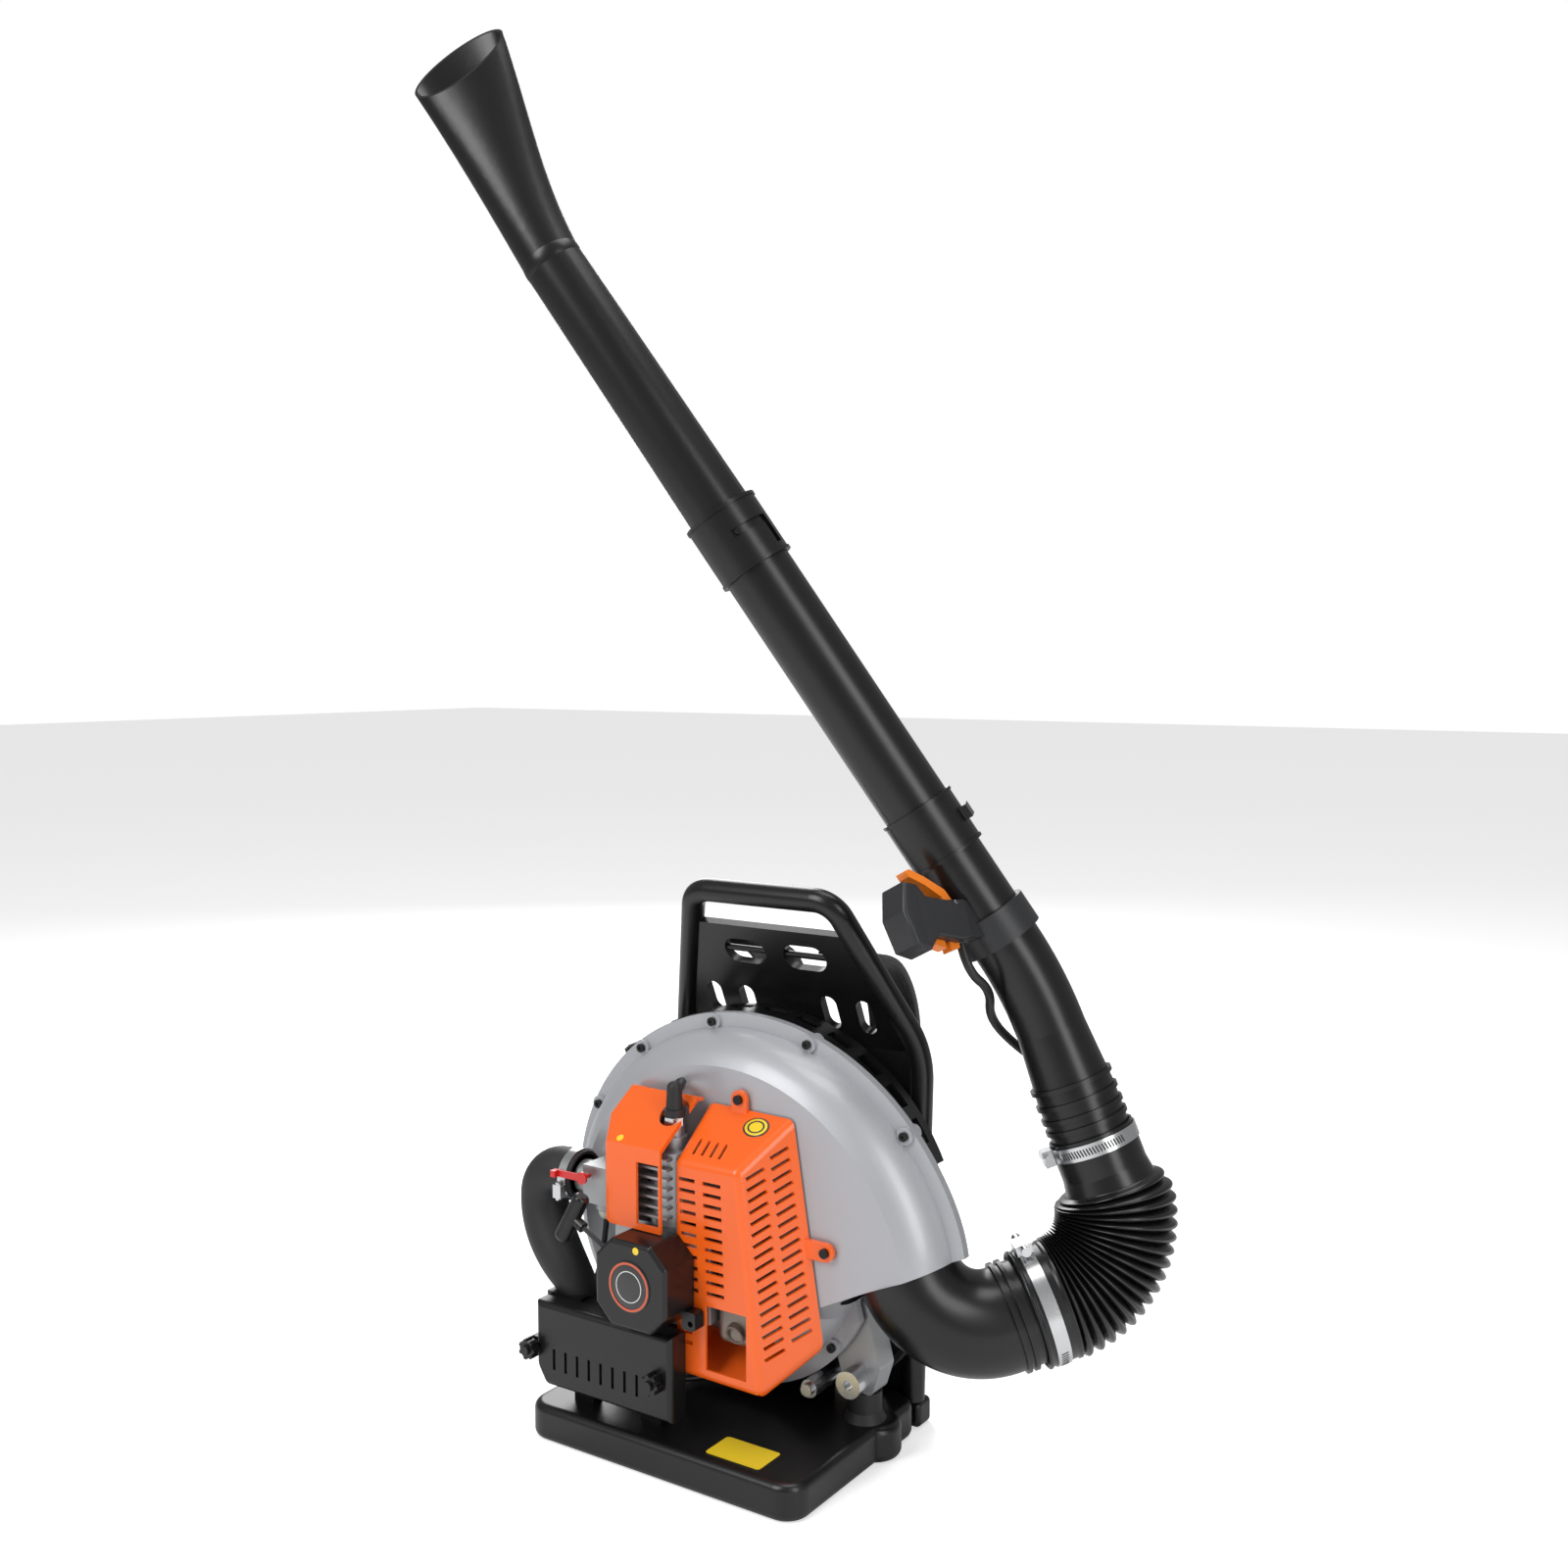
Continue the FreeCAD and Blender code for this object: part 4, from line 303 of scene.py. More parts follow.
def woven(name, colour, light, threads, roughness=0.85):
    """Cloth or webbing: thread relief, a painted highlight (the colour light) on the thread tops, and
    sheen.
    """
    made, tree, shader = bare_material(name)
    cloth = add(tree, "ShaderNodeGroup", node_tree=WEAVE)
    cloth.inputs["Threads"].default_value = threads
    thread_highlight_mix = add(tree, "ShaderNodeMix", data_type="RGBA")
    thread_highlight_mix.inputs["A"].default_value = (*colour, 1)
    # The colour light is a painted highlight, mixed in on the thread tops
    thread_highlight_mix.inputs["B"].default_value = (*light, 1)
    relief = add(tree, "ShaderNodeBump", Strength=0.7, Distance=0.0004)
    tree.links.new(cloth.outputs["Light"], thread_highlight_mix.inputs["Factor"])
    tree.links.new(cloth.outputs["Height"], relief.inputs["Height"])
    tree.links.new(thread_highlight_mix.outputs["Result"], shader.inputs["Base Color"])
    tree.links.new(relief.outputs["Normal"], shader.inputs["Normal"])
    shader.inputs["Roughness"].default_value = roughness
    shader.inputs["Sheen Weight"].default_value = 0.3
    return made


def finishes(colours):
    """One material for each of the record's material slots, and for the labels."""
    black = tuple(colours.black)
    return {
        "orange_shell": moulded("orange_shell", colours.shell, 0.30, depth=0.25, contrast=0.05,
                                dust=0.01, coat=0.35),
        "black_shell": moulded("black_shell", black, 0.30, grain=900, depth=0.4, dust=0.004,
                               contrast=0.08),
        "grip_grey": moulded("grip_grey", (0.018, 0.0185, 0.021), 0.42, grain=1300, depth=0.9),
        "volute_silver": moulded("volute_silver", colours.volute, 0.40, grain=350, depth=0.35,
                                 contrast=0.06, coat=0.25, metallic=0.25, dust=0.0),
        "black_rubber": moulded("black_rubber", (0.013, 0.013, 0.014), 0.55, grain=900, depth=0.6),
        "bellows_rubber": moulded("bellows_rubber", (0.0065, 0.0065, 0.0072), 0.27, grain=500, depth=0.3,
                                  contrast=0.08, dust=0.003),
        "cable_sleeve": moulded("cable_sleeve", (0.012, 0.012, 0.012), 0.42, grain=1500, depth=0.3),
        "black_steel": moulded("black_steel", (0.018, 0.018, 0.019), 0.32, grain=1500, depth=0.4,
                               metallic=0.6, dust=0.0),
        "cast_alloy": moulded("cast_alloy", (0.40, 0.41, 0.42), 0.46, grain=450, depth=1.0,
                              metallic=0.9, contrast=0.22, bump=0.0003),
        "machined_steel": moulded("machined_steel", (0.56, 0.56, 0.57), 0.26, grain=1600, depth=0.4,
                                  metallic=1.0),
        "zinc_steel": moulded("zinc_steel", (0.66, 0.67, 0.68), 0.27, grain=1200, depth=0.4,
                              metallic=1.0, contrast=0.16, dust=0.0),
        "exhaust_steel": moulded("exhaust_steel", (0.26, 0.22, 0.19), 0.46, grain=300, depth=0.7,
                                 metallic=0.9, contrast=0.5, bump=0.0003),
        "red_lever": moulded("red_lever", colours.lever, 0.30, coat=0.3, depth=0.2),
        "amber_trigger": moulded("amber_trigger", colours.trigger, 0.32, coat=0.2, depth=0.3),
        "clear_bulb": moulded("clear_bulb", (0.75, 0.74, 0.66), 0.22, depth=0.2,
                              Transmission_Weight=0.35, IOR=1.42),
        "tank_plastic": moulded("tank_plastic", (0.80, 0.78, 0.70), 0.42, grain=300, depth=0.5,
                                Subsurface_Weight=0.25, Subsurface_Scale=0.004),
        "filter_foam": moulded("filter_foam", (0.10, 0.10, 0.095), 0.9, grain=900, depth=2.0,
                               bump=0.001),
        "copper_coil": moulded("copper_coil", (0.02, 0.02, 0.022), 0.4, depth=0.5),
        "label_blank": moulded("label_blank", colours.label, 0.36, depth=0.1, coat=0.4, dust=0.0),
        "label_dark": moulded("label_dark", (0.02, 0.02, 0.022), 0.30, depth=0.1, coat=0.4),
        "label_orange": moulded("label_orange", (0.62, 0.09, 0.03), 0.30, depth=0.1, coat=0.4),
        "label_white": moulded("label_white", (0.72, 0.72, 0.70), 0.30, depth=0.1, coat=0.4),
        # The second colour of each cloth is the painted highlight on its thread tops
        "pad_fabric": woven("pad_fabric", (0.012, 0.012, 0.013), (0.036, 0.036, 0.039), 3200),
        "strap_webbing": woven("strap_webbing", (0.010, 0.010, 0.011), (0.030, 0.030, 0.033), 4200,
                               roughness=0.75),
    }


FINISH = {}


def give(obj, slot, body=None, material=None):
    """Sets a new piece's material, found by its slot, and the body it rides on if one is given."""
    obj.data.materials.clear()
    obj.data.materials.append(FINISH[material or slot])
    if body:
        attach(obj, body)
    return obj


# ---------------------------------------------------------------- modelling helpers

def start_clean():
    if bpy.context.object and bpy.context.object.mode != "OBJECT":
        bpy.ops.object.mode_set(mode="OBJECT")
    bpy.ops.object.select_all(action="DESELECT")


def named(name):
    made = bpy.context.object
    made.name = made.data.name = name
    return made


def apply_modifiers(obj):
    start_clean()
    bpy.context.view_layer.objects.active = obj
    obj.select_set(True)
    for modifier in list(obj.modifiers):
        bpy.ops.object.modifier_apply(modifier=modifier.name)


def soften(obj, angle=40):
    start_clean()
    bpy.context.view_layer.objects.active = obj
    obj.select_set(True)
    bpy.ops.object.shade_smooth_by_angle(angle=math.radians(angle))


def turned_bar(name, profile, sides=32, closed=True):
    """A bar or tube up the Z axis, drawn out ring by ring: profile lists height and radius."""
    start_clean()
    (low, radius), rest = profile[0], profile[1:]
    bpy.ops.mesh.primitive_circle_add(vertices=sides, radius=radius, location=(0, 0, 0),
                                      fill_type="NGON" if closed else "NOTHING")
    made = named(name)
    bpy.ops.object.mode_set(mode="EDIT")
    bpy.ops.mesh.select_all(action="SELECT")
    bpy.ops.transform.translate(value=(0, 0, low))
    for height, wide in rest:
        bpy.ops.mesh.extrude_region_move(TRANSFORM_OT_translate={"value": (0, 0, height - low)})
        ratio = wide / radius
        bpy.ops.transform.resize(value=(ratio, ratio, 1), center_override=(0, 0, height))
        low, radius = height, wide
    bpy.ops.mesh.select_all(action="SELECT")
    bpy.ops.mesh.normals_make_consistent(inside=False)
    bpy.ops.object.mode_set(mode="OBJECT")
    return made


class Line:
    """A smooth line to wrap a straight piece on, with a frame that turns as little as it can."""

    def __init__(self, points, across=X):
        self.points = points
        self.at = [0.0]
        for a, b in zip(points, points[1:]):
            self.at.append(self.at[-1] + (b - a).length)
        self.length = self.at[-1]
        self.ways = []
        for i in range(len(points)):
            ahead = points[min(i + 1, len(points) - 1)] - points[max(i - 1, 0)]
            self.ways.append(ahead.normalized())
        self.sides, side = [], across
        for way in self.ways:
            side = (side - way * side.dot(way)).normalized()
            self.sides.append(side)

    def frame(self, s):
        i = 0
        while i < len(self.at) - 2 and s > self.at[i + 1]:
            i += 1
        step = (s - self.at[i]) / (self.at[i + 1] - self.at[i])
        turn = min(max(step, 0.0), 1.0)
        spot = self.points[i].lerp(self.points[i + 1], step)
        way = self.ways[i].lerp(self.ways[i + 1], turn).normalized()
        side = self.sides[i].lerp(self.sides[i + 1], turn)
        side = (side - way * side.dot(way)).normalized()
        return spot, side, way.cross(side), way

    def wrap(self, obj):
        """Moves obj's points from round the Z axis to round the line, and gives each one's way along."""
        along = [v.co.z for v in obj.data.vertices]
        frames = {}
        for v, s in zip(obj.data.vertices, along):
            key = round(s, 7)
            if key not in frames:
                frames[key] = self.frame(s)
            spot, side, up, _ = frames[key]
            v.co = spot + side * v.co.x + up * v.co.y
        obj.data.update()
        return along


def nurbs_line(route):
    """Points read from the smooth NURBS spline that a route controls."""
    data = bpy.data.curves.new("route", "CURVE")
    data.dimensions = "3D"
    data.resolution_u = 10
    spline = data.splines.new("NURBS")
    spline.points.add(len(route) - 1)
    for point, spot in zip(spline.points, route):
        point.co = (*spot, 1)
    spline.order_u = 3
    spline.use_endpoint_u = True
    return read_line(data)


def read_line(data):
    holder = bpy.data.objects.new("route", data)
    mesh = bpy.data.meshes.new_from_object(holder)
    points = [v.co.copy() for v in mesh.vertices]
    bpy.data.objects.remove(holder)
    bpy.data.meshes.remove(mesh)
    return points


def even_steps(start, end, about):
    count = max(2, round((end - start) / about))
    return [start + (end - start) * i / count for i in range(count + 1)]


def cable(name, line, radius, start=None, end=None, sides=14):
    """A round cable along part of a line."""
    start, end = start or 0.0, end or line.length
    made = turned_bar(name, [(s, radius) for s in even_steps(start, end, 5 * MM)], sides)
    along = line.wrap(made)
    soften(made, 50)
    return made, along


def bend_along(obj):
    """Bakes obj's transform into its mesh."""
    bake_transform(obj)


# ---------------------------------------------------------------- CAD nodes

class BLOWER_OT_finish_nodes(bpy.types.Operator):
    """Give every machined, cast and moulded part its finish"""

    bl_idname = "blower.finish_nodes"
    bl_label = "Finish parts"

    def execute(self, context):
        FINISH.update(finishes(context.scene.blower_colours))
        for row in frame["record"]["subparts"]:
            node = frame["nodes"][row["node"]]
            node.data.materials.clear()
            node.data.materials.append(FINISH[row["material_slot"]])
        return {"FINISHED"}


class BLOWER_OT_rounded_grip(bpy.types.Operator):
    """Round the edges of the hand grip's two shells"""

    bl_idname = "blower.rounded_grip"
    bl_label = "Rounded grip"

    def execute(self, context):
        for node in ("grip_shell_left", "grip_shell_right"):
            shell = frame["nodes"][node].copy()
            shell.data = shell.data.copy()
            shell.parent = None
            for key in list(shell.keys()):
                del shell[key]
            shell.name = node.replace("grip_shell", "hand_grip")
            context.scene.collection.objects.link(shell)
            start_clean()
            context.view_layer.objects.active = shell
            shell.select_set(True)
            bpy.ops.object.mode_set(mode="EDIT")
            bpy.ops.mesh.select_all(action="SELECT")
            bpy.ops.mesh.remove_doubles(threshold=0.02 * MM)
            bpy.ops.mesh.dissolve_limited(angle_limit=math.radians(2))
            bpy.ops.object.mode_set(mode="OBJECT")
            edge = shell.modifiers.new("Edge", "BEVEL")
            edge.width, edge.segments, edge.harden_normals = 2.4 * MM, 4, False
            edge.limit_method, edge.angle_limit = "ANGLE", math.radians(28)
            apply_modifiers(shell)
            soften(shell, 40)
            give(shell, "grip_grey", "wand")
            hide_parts(node)
        return {"FINISHED"}


# ---------------------------------------------------------------- bellows hose

def hose_line():
    """Centre of the hose: low cuff, round bend, cone and top cuff."""
    axis = HOSE_DIR.cross(CLAMP_DIR).normalized()
    inward = axis.cross(HOSE_DIR)
    turn = HOSE_DIR.angle(CLAMP_DIR)
    centre = HOSE_START + inward * BEND_RADIUS
    points = [HOSE_START - HOSE_DIR * LOW_CUFF, HOSE_START - HOSE_DIR * LOW_CUFF / 2]
    for step in range(41):
        points.append(centre - Matrix.Rotation(turn * step / 40, 3, axis) @ inward * BEND_RADIUS)
    top = points[-1]
    points += [top + CLAMP_DIR * CONE, top + CLAMP_DIR * (CONE + TOP_CUFF)]
    return Line(points, axis), turn * BEND_RADIUS


def ripple_profile(start, end, bend_length, sizes):
    """Height and radius of the hose from start to end: plain cuffs, and ripples between them."""
    outer, pitch = 51.6 * MM, bend_length / sizes.ripples
    profile = []
    for s in even_steps(start, end, pitch / 8):
        bent = s - LOW_CUFF
        if bent < 0:
            radius = LOW_CUFF_R + (1.2 * MM if bent > -4 * MM or -30 * MM < bent < -27 * MM else 0)
        elif bent <= bend_length:
            wave = abs(math.sin(math.pi * bent / pitch)) ** 0.75
            shrink = max(0.0, (bent - bend_length * 0.86) / (bend_length * 0.14))
            radius = outer - sizes.ripple_depth * (1 - wave) - 9 * MM * shrink ** 2
        else:
            cone = min((bent - bend_length) / CONE, 1.0)
            radius = 39 * MM + (TOP_CUFF_R - 39 * MM) * cone
        profile.append((s, radius))
    return profile


class BLOWER_OT_bellows_hose(bpy.types.Operator):
    """Bend a ribbed hose from the elbow to the wand, in two halves"""

    bl_idname = "blower.bellows_hose"
    bl_label = "Bellows hose"

    def execute(self, context):
        sizes = context.scene.blower_sizes
        line, bend_length = hose_line()
        pitch = bend_length / sizes.ripples
        middle = LOW_CUFF + pitch * round(sizes.ripples / 2)
        spots = [line.frame(s)[0] for s in (LOW_CUFF, middle, LOW_CUFF + bend_length)]
        halves = (("bellows_lower", 0.0, middle, "machine", "hose", LOW_CUFF, middle, spots[:2]),
                  ("bellows_upper", middle, line.length, "hose", "wand", middle,
                   LOW_CUFF + bend_length, spots[1:]))
        for name, start, end, first, second, fixed, free, ends in halves:
            half = turned_bar(name, ripple_profile(start, end, bend_length, sizes), 80, closed=False)
            half.modifiers.new("Wall", "SOLIDIFY").thickness = 2 * MM
            apply_modifiers(half)
            along = line.wrap(half)
            soften(half, 60)
            give(half, "bellows_rubber")
            bend_along(half)
            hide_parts("flex_hose")
        return {"FINISHED"}


class BLOWER_OT_clamp_slots(bpy.types.Operator):
    """Cut the look of worm-drive slots into both hose clamps' bands"""

    bl_idname = "blower.clamp_slots"
    bl_label = "Clamp slots"

    def execute(self, context):
        line, bend_length = hose_line()
        top = LOW_CUFF + bend_length + 37 * MM
        for name, s, radius, first, body in (
                ("clamp_slots_low", 13 * MM, LOW_CUFF_R + 1.5 * MM, 40, "machine"),
                ("clamp_slots_top", top, TOP_CUFF_R + 1.5 * MM, -60, "wand")):
            spot, side, up, way = line.frame(s)
            start_clean()
            for step in range(22):
                angle = math.radians(first + step * 150 / TOP_CUFF_R * MM)
                out = side * math.cos(angle) + up * math.sin(angle)
                self.slot(spot + out * radius, out, way)
            bpy.ops.object.select_all(action="DESELECT")
            for piece in bpy.data.objects:
                piece.select_set(piece.name.startswith("band_slot"))
            bpy.context.view_layer.objects.active = bpy.data.objects["band_slot"]
            bpy.ops.object.join()
            slots = named(name)
            soften(slots, 30)
            give(slots, "black_rubber", body)
        return {"FINISHED"}

    def slot(self, spot, out, way):
        """One thin dark slot, slanted across the band."""
        bpy.ops.mesh.primitive_cube_add(size=1, location=(0, 0, 0))
        made = named("band_slot")
        bpy.ops.object.mode_set(mode="EDIT")
        bpy.ops.transform.resize(value=(1.3 * MM, 6.4 * MM, 0.24 * MM), center_override=(0, 0, 0))
        bpy.ops.mesh.select_mode(type="EDGE")
        bpy.ops.mesh.select_all(action="DESELECT")
        bpy.ops.object.mode_set(mode="OBJECT")
        for edge in made.data.edges:
            a, b = (made.data.vertices[i].co for i in edge.vertices)
            edge.select = abs(a.z - b.z) > 0.1 * MM
        bpy.ops.object.mode_set(mode="EDIT")
        bpy.ops.mesh.bevel(offset=0.5 * MM, segments=2)
        bpy.ops.object.mode_set(mode="OBJECT")
        slant = (way + out.cross(way) * 0.22).normalized()
        turn = Matrix((slant.cross(out), slant, out)).transposed().to_4x4()
        made.data.transform(Matrix.Translation(spot) @ turn)


# ---------------------------------------------------------------- cables, lines and rope

class BLOWER_OT_cables(bpy.types.Operator):
    """Lay the throttle cable, the fuel line and the ignition lead along their routes"""

    bl_idname = "blower.cables"
    bl_label = "Cables"

    def execute(self, context):
        for name, route, radius, slot, body, node in (
                ("throttle_cable_wand", CABLE_UPPER, 4 * MM, "cable_sleeve", "wand", "cable_upper"),
                ("throttle_cable_base", CABLE_LOWER, 3 * MM, "cable_sleeve", "machine", "cable_lower"),
                ("fuel_hose", FUEL_LINE, 2.6 * MM, "black_rubber", "machine", "fuel_line"),
                ("ignition_wire", IGNITION_LEAD, 3.2 * MM, "black_rubber", "machine", "ignition_lead")):
            made, _ = cable(name, Line(nurbs_line(route)), radius)
            give(made, slot, body)
            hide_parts(node)
        self.free_stretch()
        return {"FINISHED"}

    def free_stretch(self):
        """The cable between wand and clip, in two lengths."""
        line = Line(nurbs_line(CABLE_MIDDLE))
        middle, radius = line.length / 2, 4 * MM
        upper, along = cable("throttle_cable_hang_top", line, radius, end=middle)
        give(upper, "cable_sleeve")
        bend_along(upper)
        lower, along = cable("throttle_cable_hang_low", line, radius, start=middle)
        give(lower, "cable_sleeve")
        bend_along(lower)
        for piece in (upper, lower):
            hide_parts("cable_middle")


class BLOWER_OT_starter_rope(bpy.types.Operator):
    """String the recoil rope between its guide and the grip"""

    bl_idname = "blower.starter_rope"
    bl_label = "Starter rope"

    def execute(self, context):
        way = (ROPE_END - ROPE_START).normalized()
        line = Line([ROPE_START - way * 3 * MM, (ROPE_START + ROPE_END) / 2, ROPE_END])
        rings = [(s, (2.15 + 0.12 * math.sin(s / MM * 2.4)) * MM)
                 for s in even_steps(0, line.length, 0.7 * MM)]
        rope = turned_bar("starter_rope", rings, 16)
        line.wrap(rope)
        soften(rope, 60)
        give(rope, "strap_webbing")
        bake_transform(rope)
        return {"FINISHED"}


# ---------------------------------------------------------------- harness

class BLOWER_OT_back_pad(bpy.types.Operator):
    """Fill the back pad as cloth, then sew its channels in"""

    bl_idname = "blower.back_pad"
    bl_label = "Back pad"

    def execute(self, context):
        sizes = context.scene.blower_sizes
        low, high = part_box("back_pad")
        centre = (low + high) / 2
        pad = frame["nodes"]["back_pad"].copy()
        pad.data = pad.data.copy()
        pad.parent = None
        for key in list(pad.keys()):
            del pad[key]
        pad.name = "back_cushion"
        context.scene.collection.objects.link(pad)
        pad.hide_render = pad.hide_viewport = False
        shrink = Matrix.Diagonal((0.965, 0.70, 0.965, 1))
        pad.data.transform(Matrix.Translation(centre) @ shrink @ Matrix.Translation(-centre))
        remesh = pad.modifiers.new("Skin", "REMESH")
        remesh.mode, remesh.voxel_size = "VOXEL", 5 * MM
        apply_modifiers(pad)
        self.swell(pad, sizes)
        finer = pad.modifiers.new("Finer", "SUBSURF")
        finer.levels = finer.render_levels = 1
        apply_modifiers(pad)
        self.sew(pad, low, high)
        start_clean()
        context.view_layer.objects.active = pad
        pad.select_set(True)
        bpy.ops.object.shade_smooth()
        give(pad, "pad_fabric", "machine")
        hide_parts("back_pad")
        return {"FINISHED"}

    def swell(self, pad, sizes):
        before = [v.co.copy() for v in pad.data.vertices]
        cloth = pad.modifiers.new("Cover", "CLOTH")
        cloth.settings.use_pressure = True
        cloth.settings.uniform_pressure_force = sizes.pad_pressure
        cloth.settings.effector_weights.gravity = 0
        for number in range(1, 21):
            bpy.context.scene.frame_set(number)
        apply_modifiers(pad)
        bpy.context.scene.frame_set(1)
        for v, rest in zip(pad.data.vertices, before):
            moved = v.co - rest
            if moved.length > sizes.pad_limit:
                v.co = rest + moved * (sizes.pad_limit / moved.length)

    def sew(self, pad, low, high):
        """Two upright channels and two across, pressed into the side that meets the back."""
        depth, width = 4.5 * MM, 3.2 * MM
        middle = (low.y + high.y) / 2
        tall = high.z - low.z
        for v in pad.data.vertices:
            if v.co.y < middle:
                continue
            near = [abs(abs(v.co.x) - 34 * MM)]
            near += [abs(v.co.z - low.z - tall * share) for share in (0.33, 0.67)]
            v.co.y -= depth * max(math.exp(-((d / width) ** 2)) for d in near)


def strap_line(x):
    """Line of a shoulder strap: smooth through its few points, at one distance from the middle."""
    data = bpy.data.curves.new("strap", "CURVE")
    data.dimensions = "3D"
    data.resolution_u = 14
    spline = data.splines.new("BEZIER")
    spline.bezier_points.add(len(STRAP_LINE) - 1)
    for point, (y, z) in zip(spline.bezier_points, STRAP_LINE):
        point.co = mm(x, y, z)
        point.handle_left_type = point.handle_right_type = "AUTO"
    return Line(read_line(data), X)


def flat_band(name, line, start, end, half_width, thick, offset=0.0, round_off=3):
    """A flat band along a line: a bar stretched from start to end, cut across, bevelled and wrapped."""
    start_clean()
    bpy.ops.mesh.primitive_cube_add(size=1, location=(0, 0, 0))
    band = named(name)
    bpy.ops.object.mode_set(mode="EDIT")
    bpy.ops.mesh.select_all(action="SELECT")
    bpy.ops.transform.resize(value=(half_width * 2, thick, end - start), center_override=(0, 0, 0))
    bpy.ops.transform.translate(value=(0, offset, (start + end) / 2))
    for height in even_steps(start, end, 6 * MM)[1:-1]:
        bpy.ops.mesh.select_all(action="SELECT")
        bpy.ops.mesh.bisect(plane_co=(0, 0, height), plane_no=(0, 0, 1))
    bpy.ops.object.mode_set(mode="OBJECT")
    edge = band.modifiers.new("Edge", "BEVEL")
    edge.width, edge.segments = thick * 0.42, round_off
    edge.limit_method, edge.angle_limit = "ANGLE", math.radians(50)
    apply_modifiers(band)
    line.wrap(band)
    soften(band, 50)
    return band


class BLOWER_OT_straps(bpy.types.Operator):
    """Make both shoulder straps: foam, webbing on top, and a buckle"""

    bl_idname = "blower.straps"
    bl_label = "Shoulder straps"

    def execute(self, context):
        half = context.scene.blower_sizes.webbing / 2
        for side, x in (("left", -60), ("right", 60)):
            line = strap_line(x)
            foam_end = line.length * 0.70
            foam = flat_band(f"strap_foam_{side}", line, 4 * MM, foam_end, 25.5 * MM, 8.5 * MM, 0.0, 4)
            give(foam, "pad_fabric", "machine")
            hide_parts(f"shoulder_strap_{side}")
            for edge in (-1, 1):
                hem = flat_band(f"strap_hem_{side}_{'in' if edge < 0 else 'out'}", line, 4 * MM,
                                foam_end, 2.4 * MM, 9.6 * MM)
                self.shift(hem, X * edge * 24.4 * MM)
                give(hem, "strap_webbing", "machine")
            webbing = flat_band(f"strap_web_{side}", line, 0.5 * MM, line.length - 1 * MM, half,
                                1.6 * MM, -4.3 * MM)
            give(webbing, "strap_webbing", "machine")
            self.buckle(side, line, foam_end + 14 * MM, half)
        return {"FINISHED"}

    def shift(self, obj, step):
        obj.data.transform(Matrix.Translation(step))

    def buckle(self, side, line, s, half):
        """A ladder buckle: a rounded plate with two windows, and the bar between them."""
        start_clean()
        bpy.ops.mesh.primitive_cube_add(size=1, location=(0, 0, 0))
        buckle = named(f"strap_buckle_{side}")
        bpy.ops.object.mode_set(mode="EDIT")
        bpy.ops.mesh.select_all(action="SELECT")
        bpy.ops.transform.resize(value=(half * 2 + 11 * MM, 5 * MM, 34 * MM), center_override=(0, 0, 0))
        bpy.ops.mesh.select_all(action="SELECT")
        bpy.ops.mesh.bisect(plane_co=(0, 0, 0), plane_no=(0, 0, 1))
        bpy.ops.mesh.select_mode(type="FACE")
        bpy.ops.mesh.select_all(action="DESELECT")
        bpy.ops.object.mode_set(mode="OBJECT")
        for face in buckle.data.polygons:
            face.select = abs(face.normal.y) > 0.9
        bpy.ops.object.mode_set(mode="EDIT")
        bpy.ops.mesh.inset(thickness=3.6 * MM, use_individual=True)
        bpy.ops.mesh.bridge_edge_loops(number_cuts=0)
        bpy.ops.object.mode_set(mode="OBJECT")
        edge = buckle.modifiers.new("Edge", "BEVEL")
        edge.width, edge.segments = 0.9 * MM, 2
        apply_modifiers(buckle)
        buckle.data.transform(Matrix.Translation((0, -4.3 * MM, s)))
        line.wrap(buckle)
        soften(buckle, 40)
        give(buckle, "black_shell", "machine")


# ---------------------------------------------------------------- labels

def disc(name, centre, axis, radius, thick, slot, material, body, inner=0.0, stretch=1.0, turn=0.0):
    """A thin round or oval sticker, or a ring, with a softened rim."""
    start_clean()
    bpy.ops.mesh.primitive_circle_add(vertices=64, radius=radius, fill_type="NGON", location=(0, 0, 0))
    made = named(name)
    bpy.ops.object.mode_set(mode="EDIT")
    bpy.ops.mesh.select_all(action="SELECT")
    if inner:
        bpy.ops.mesh.inset(thickness=radius - inner)
        bpy.ops.mesh.delete(type="FACE")
        bpy.ops.mesh.select_all(action="SELECT")
    bpy.ops.mesh.extrude_region_move(TRANSFORM_OT_translate={"value": (0, 0, thick)})
    bpy.ops.mesh.select_all(action="SELECT")
    bpy.ops.mesh.normals_make_consistent(inside=False)
    bpy.ops.object.mode_set(mode="OBJECT")
    edge = made.modifiers.new("Edge", "BEVEL")
    edge.width, edge.segments = thick * 0.35, 2
    edge.limit_method, edge.angle_limit = "ANGLE", math.radians(50)
    apply_modifiers(made)
    place = Matrix.Translation(centre) @ axis.to_track_quat("Z", "Y").to_matrix().to_4x4()
    place = place @ Matrix.Rotation(turn, 4, "Z") @ Matrix.Diagonal((1, stretch, 1, 1))
    made.data.transform(place)
    soften(made, 35)
    return give(made, slot, body, material)


def ray_to(node, origin, direction):
    """Where a straight line meets a node's surface, and the surface's direction there."""
    mesh = frame["nodes"][node].data
    tree = BVHTree.FromPolygons([v.co for v in mesh.vertices], [p.vertices for p in mesh.polygons])
    spot, normal, _, _ = tree.ray_cast(origin, direction)
    if spot is None:
        raise RuntimeError(f"nothing of {node} is in line with {tuple(origin)}")
    return spot, normal if normal.dot(direction) < 0 else -normal


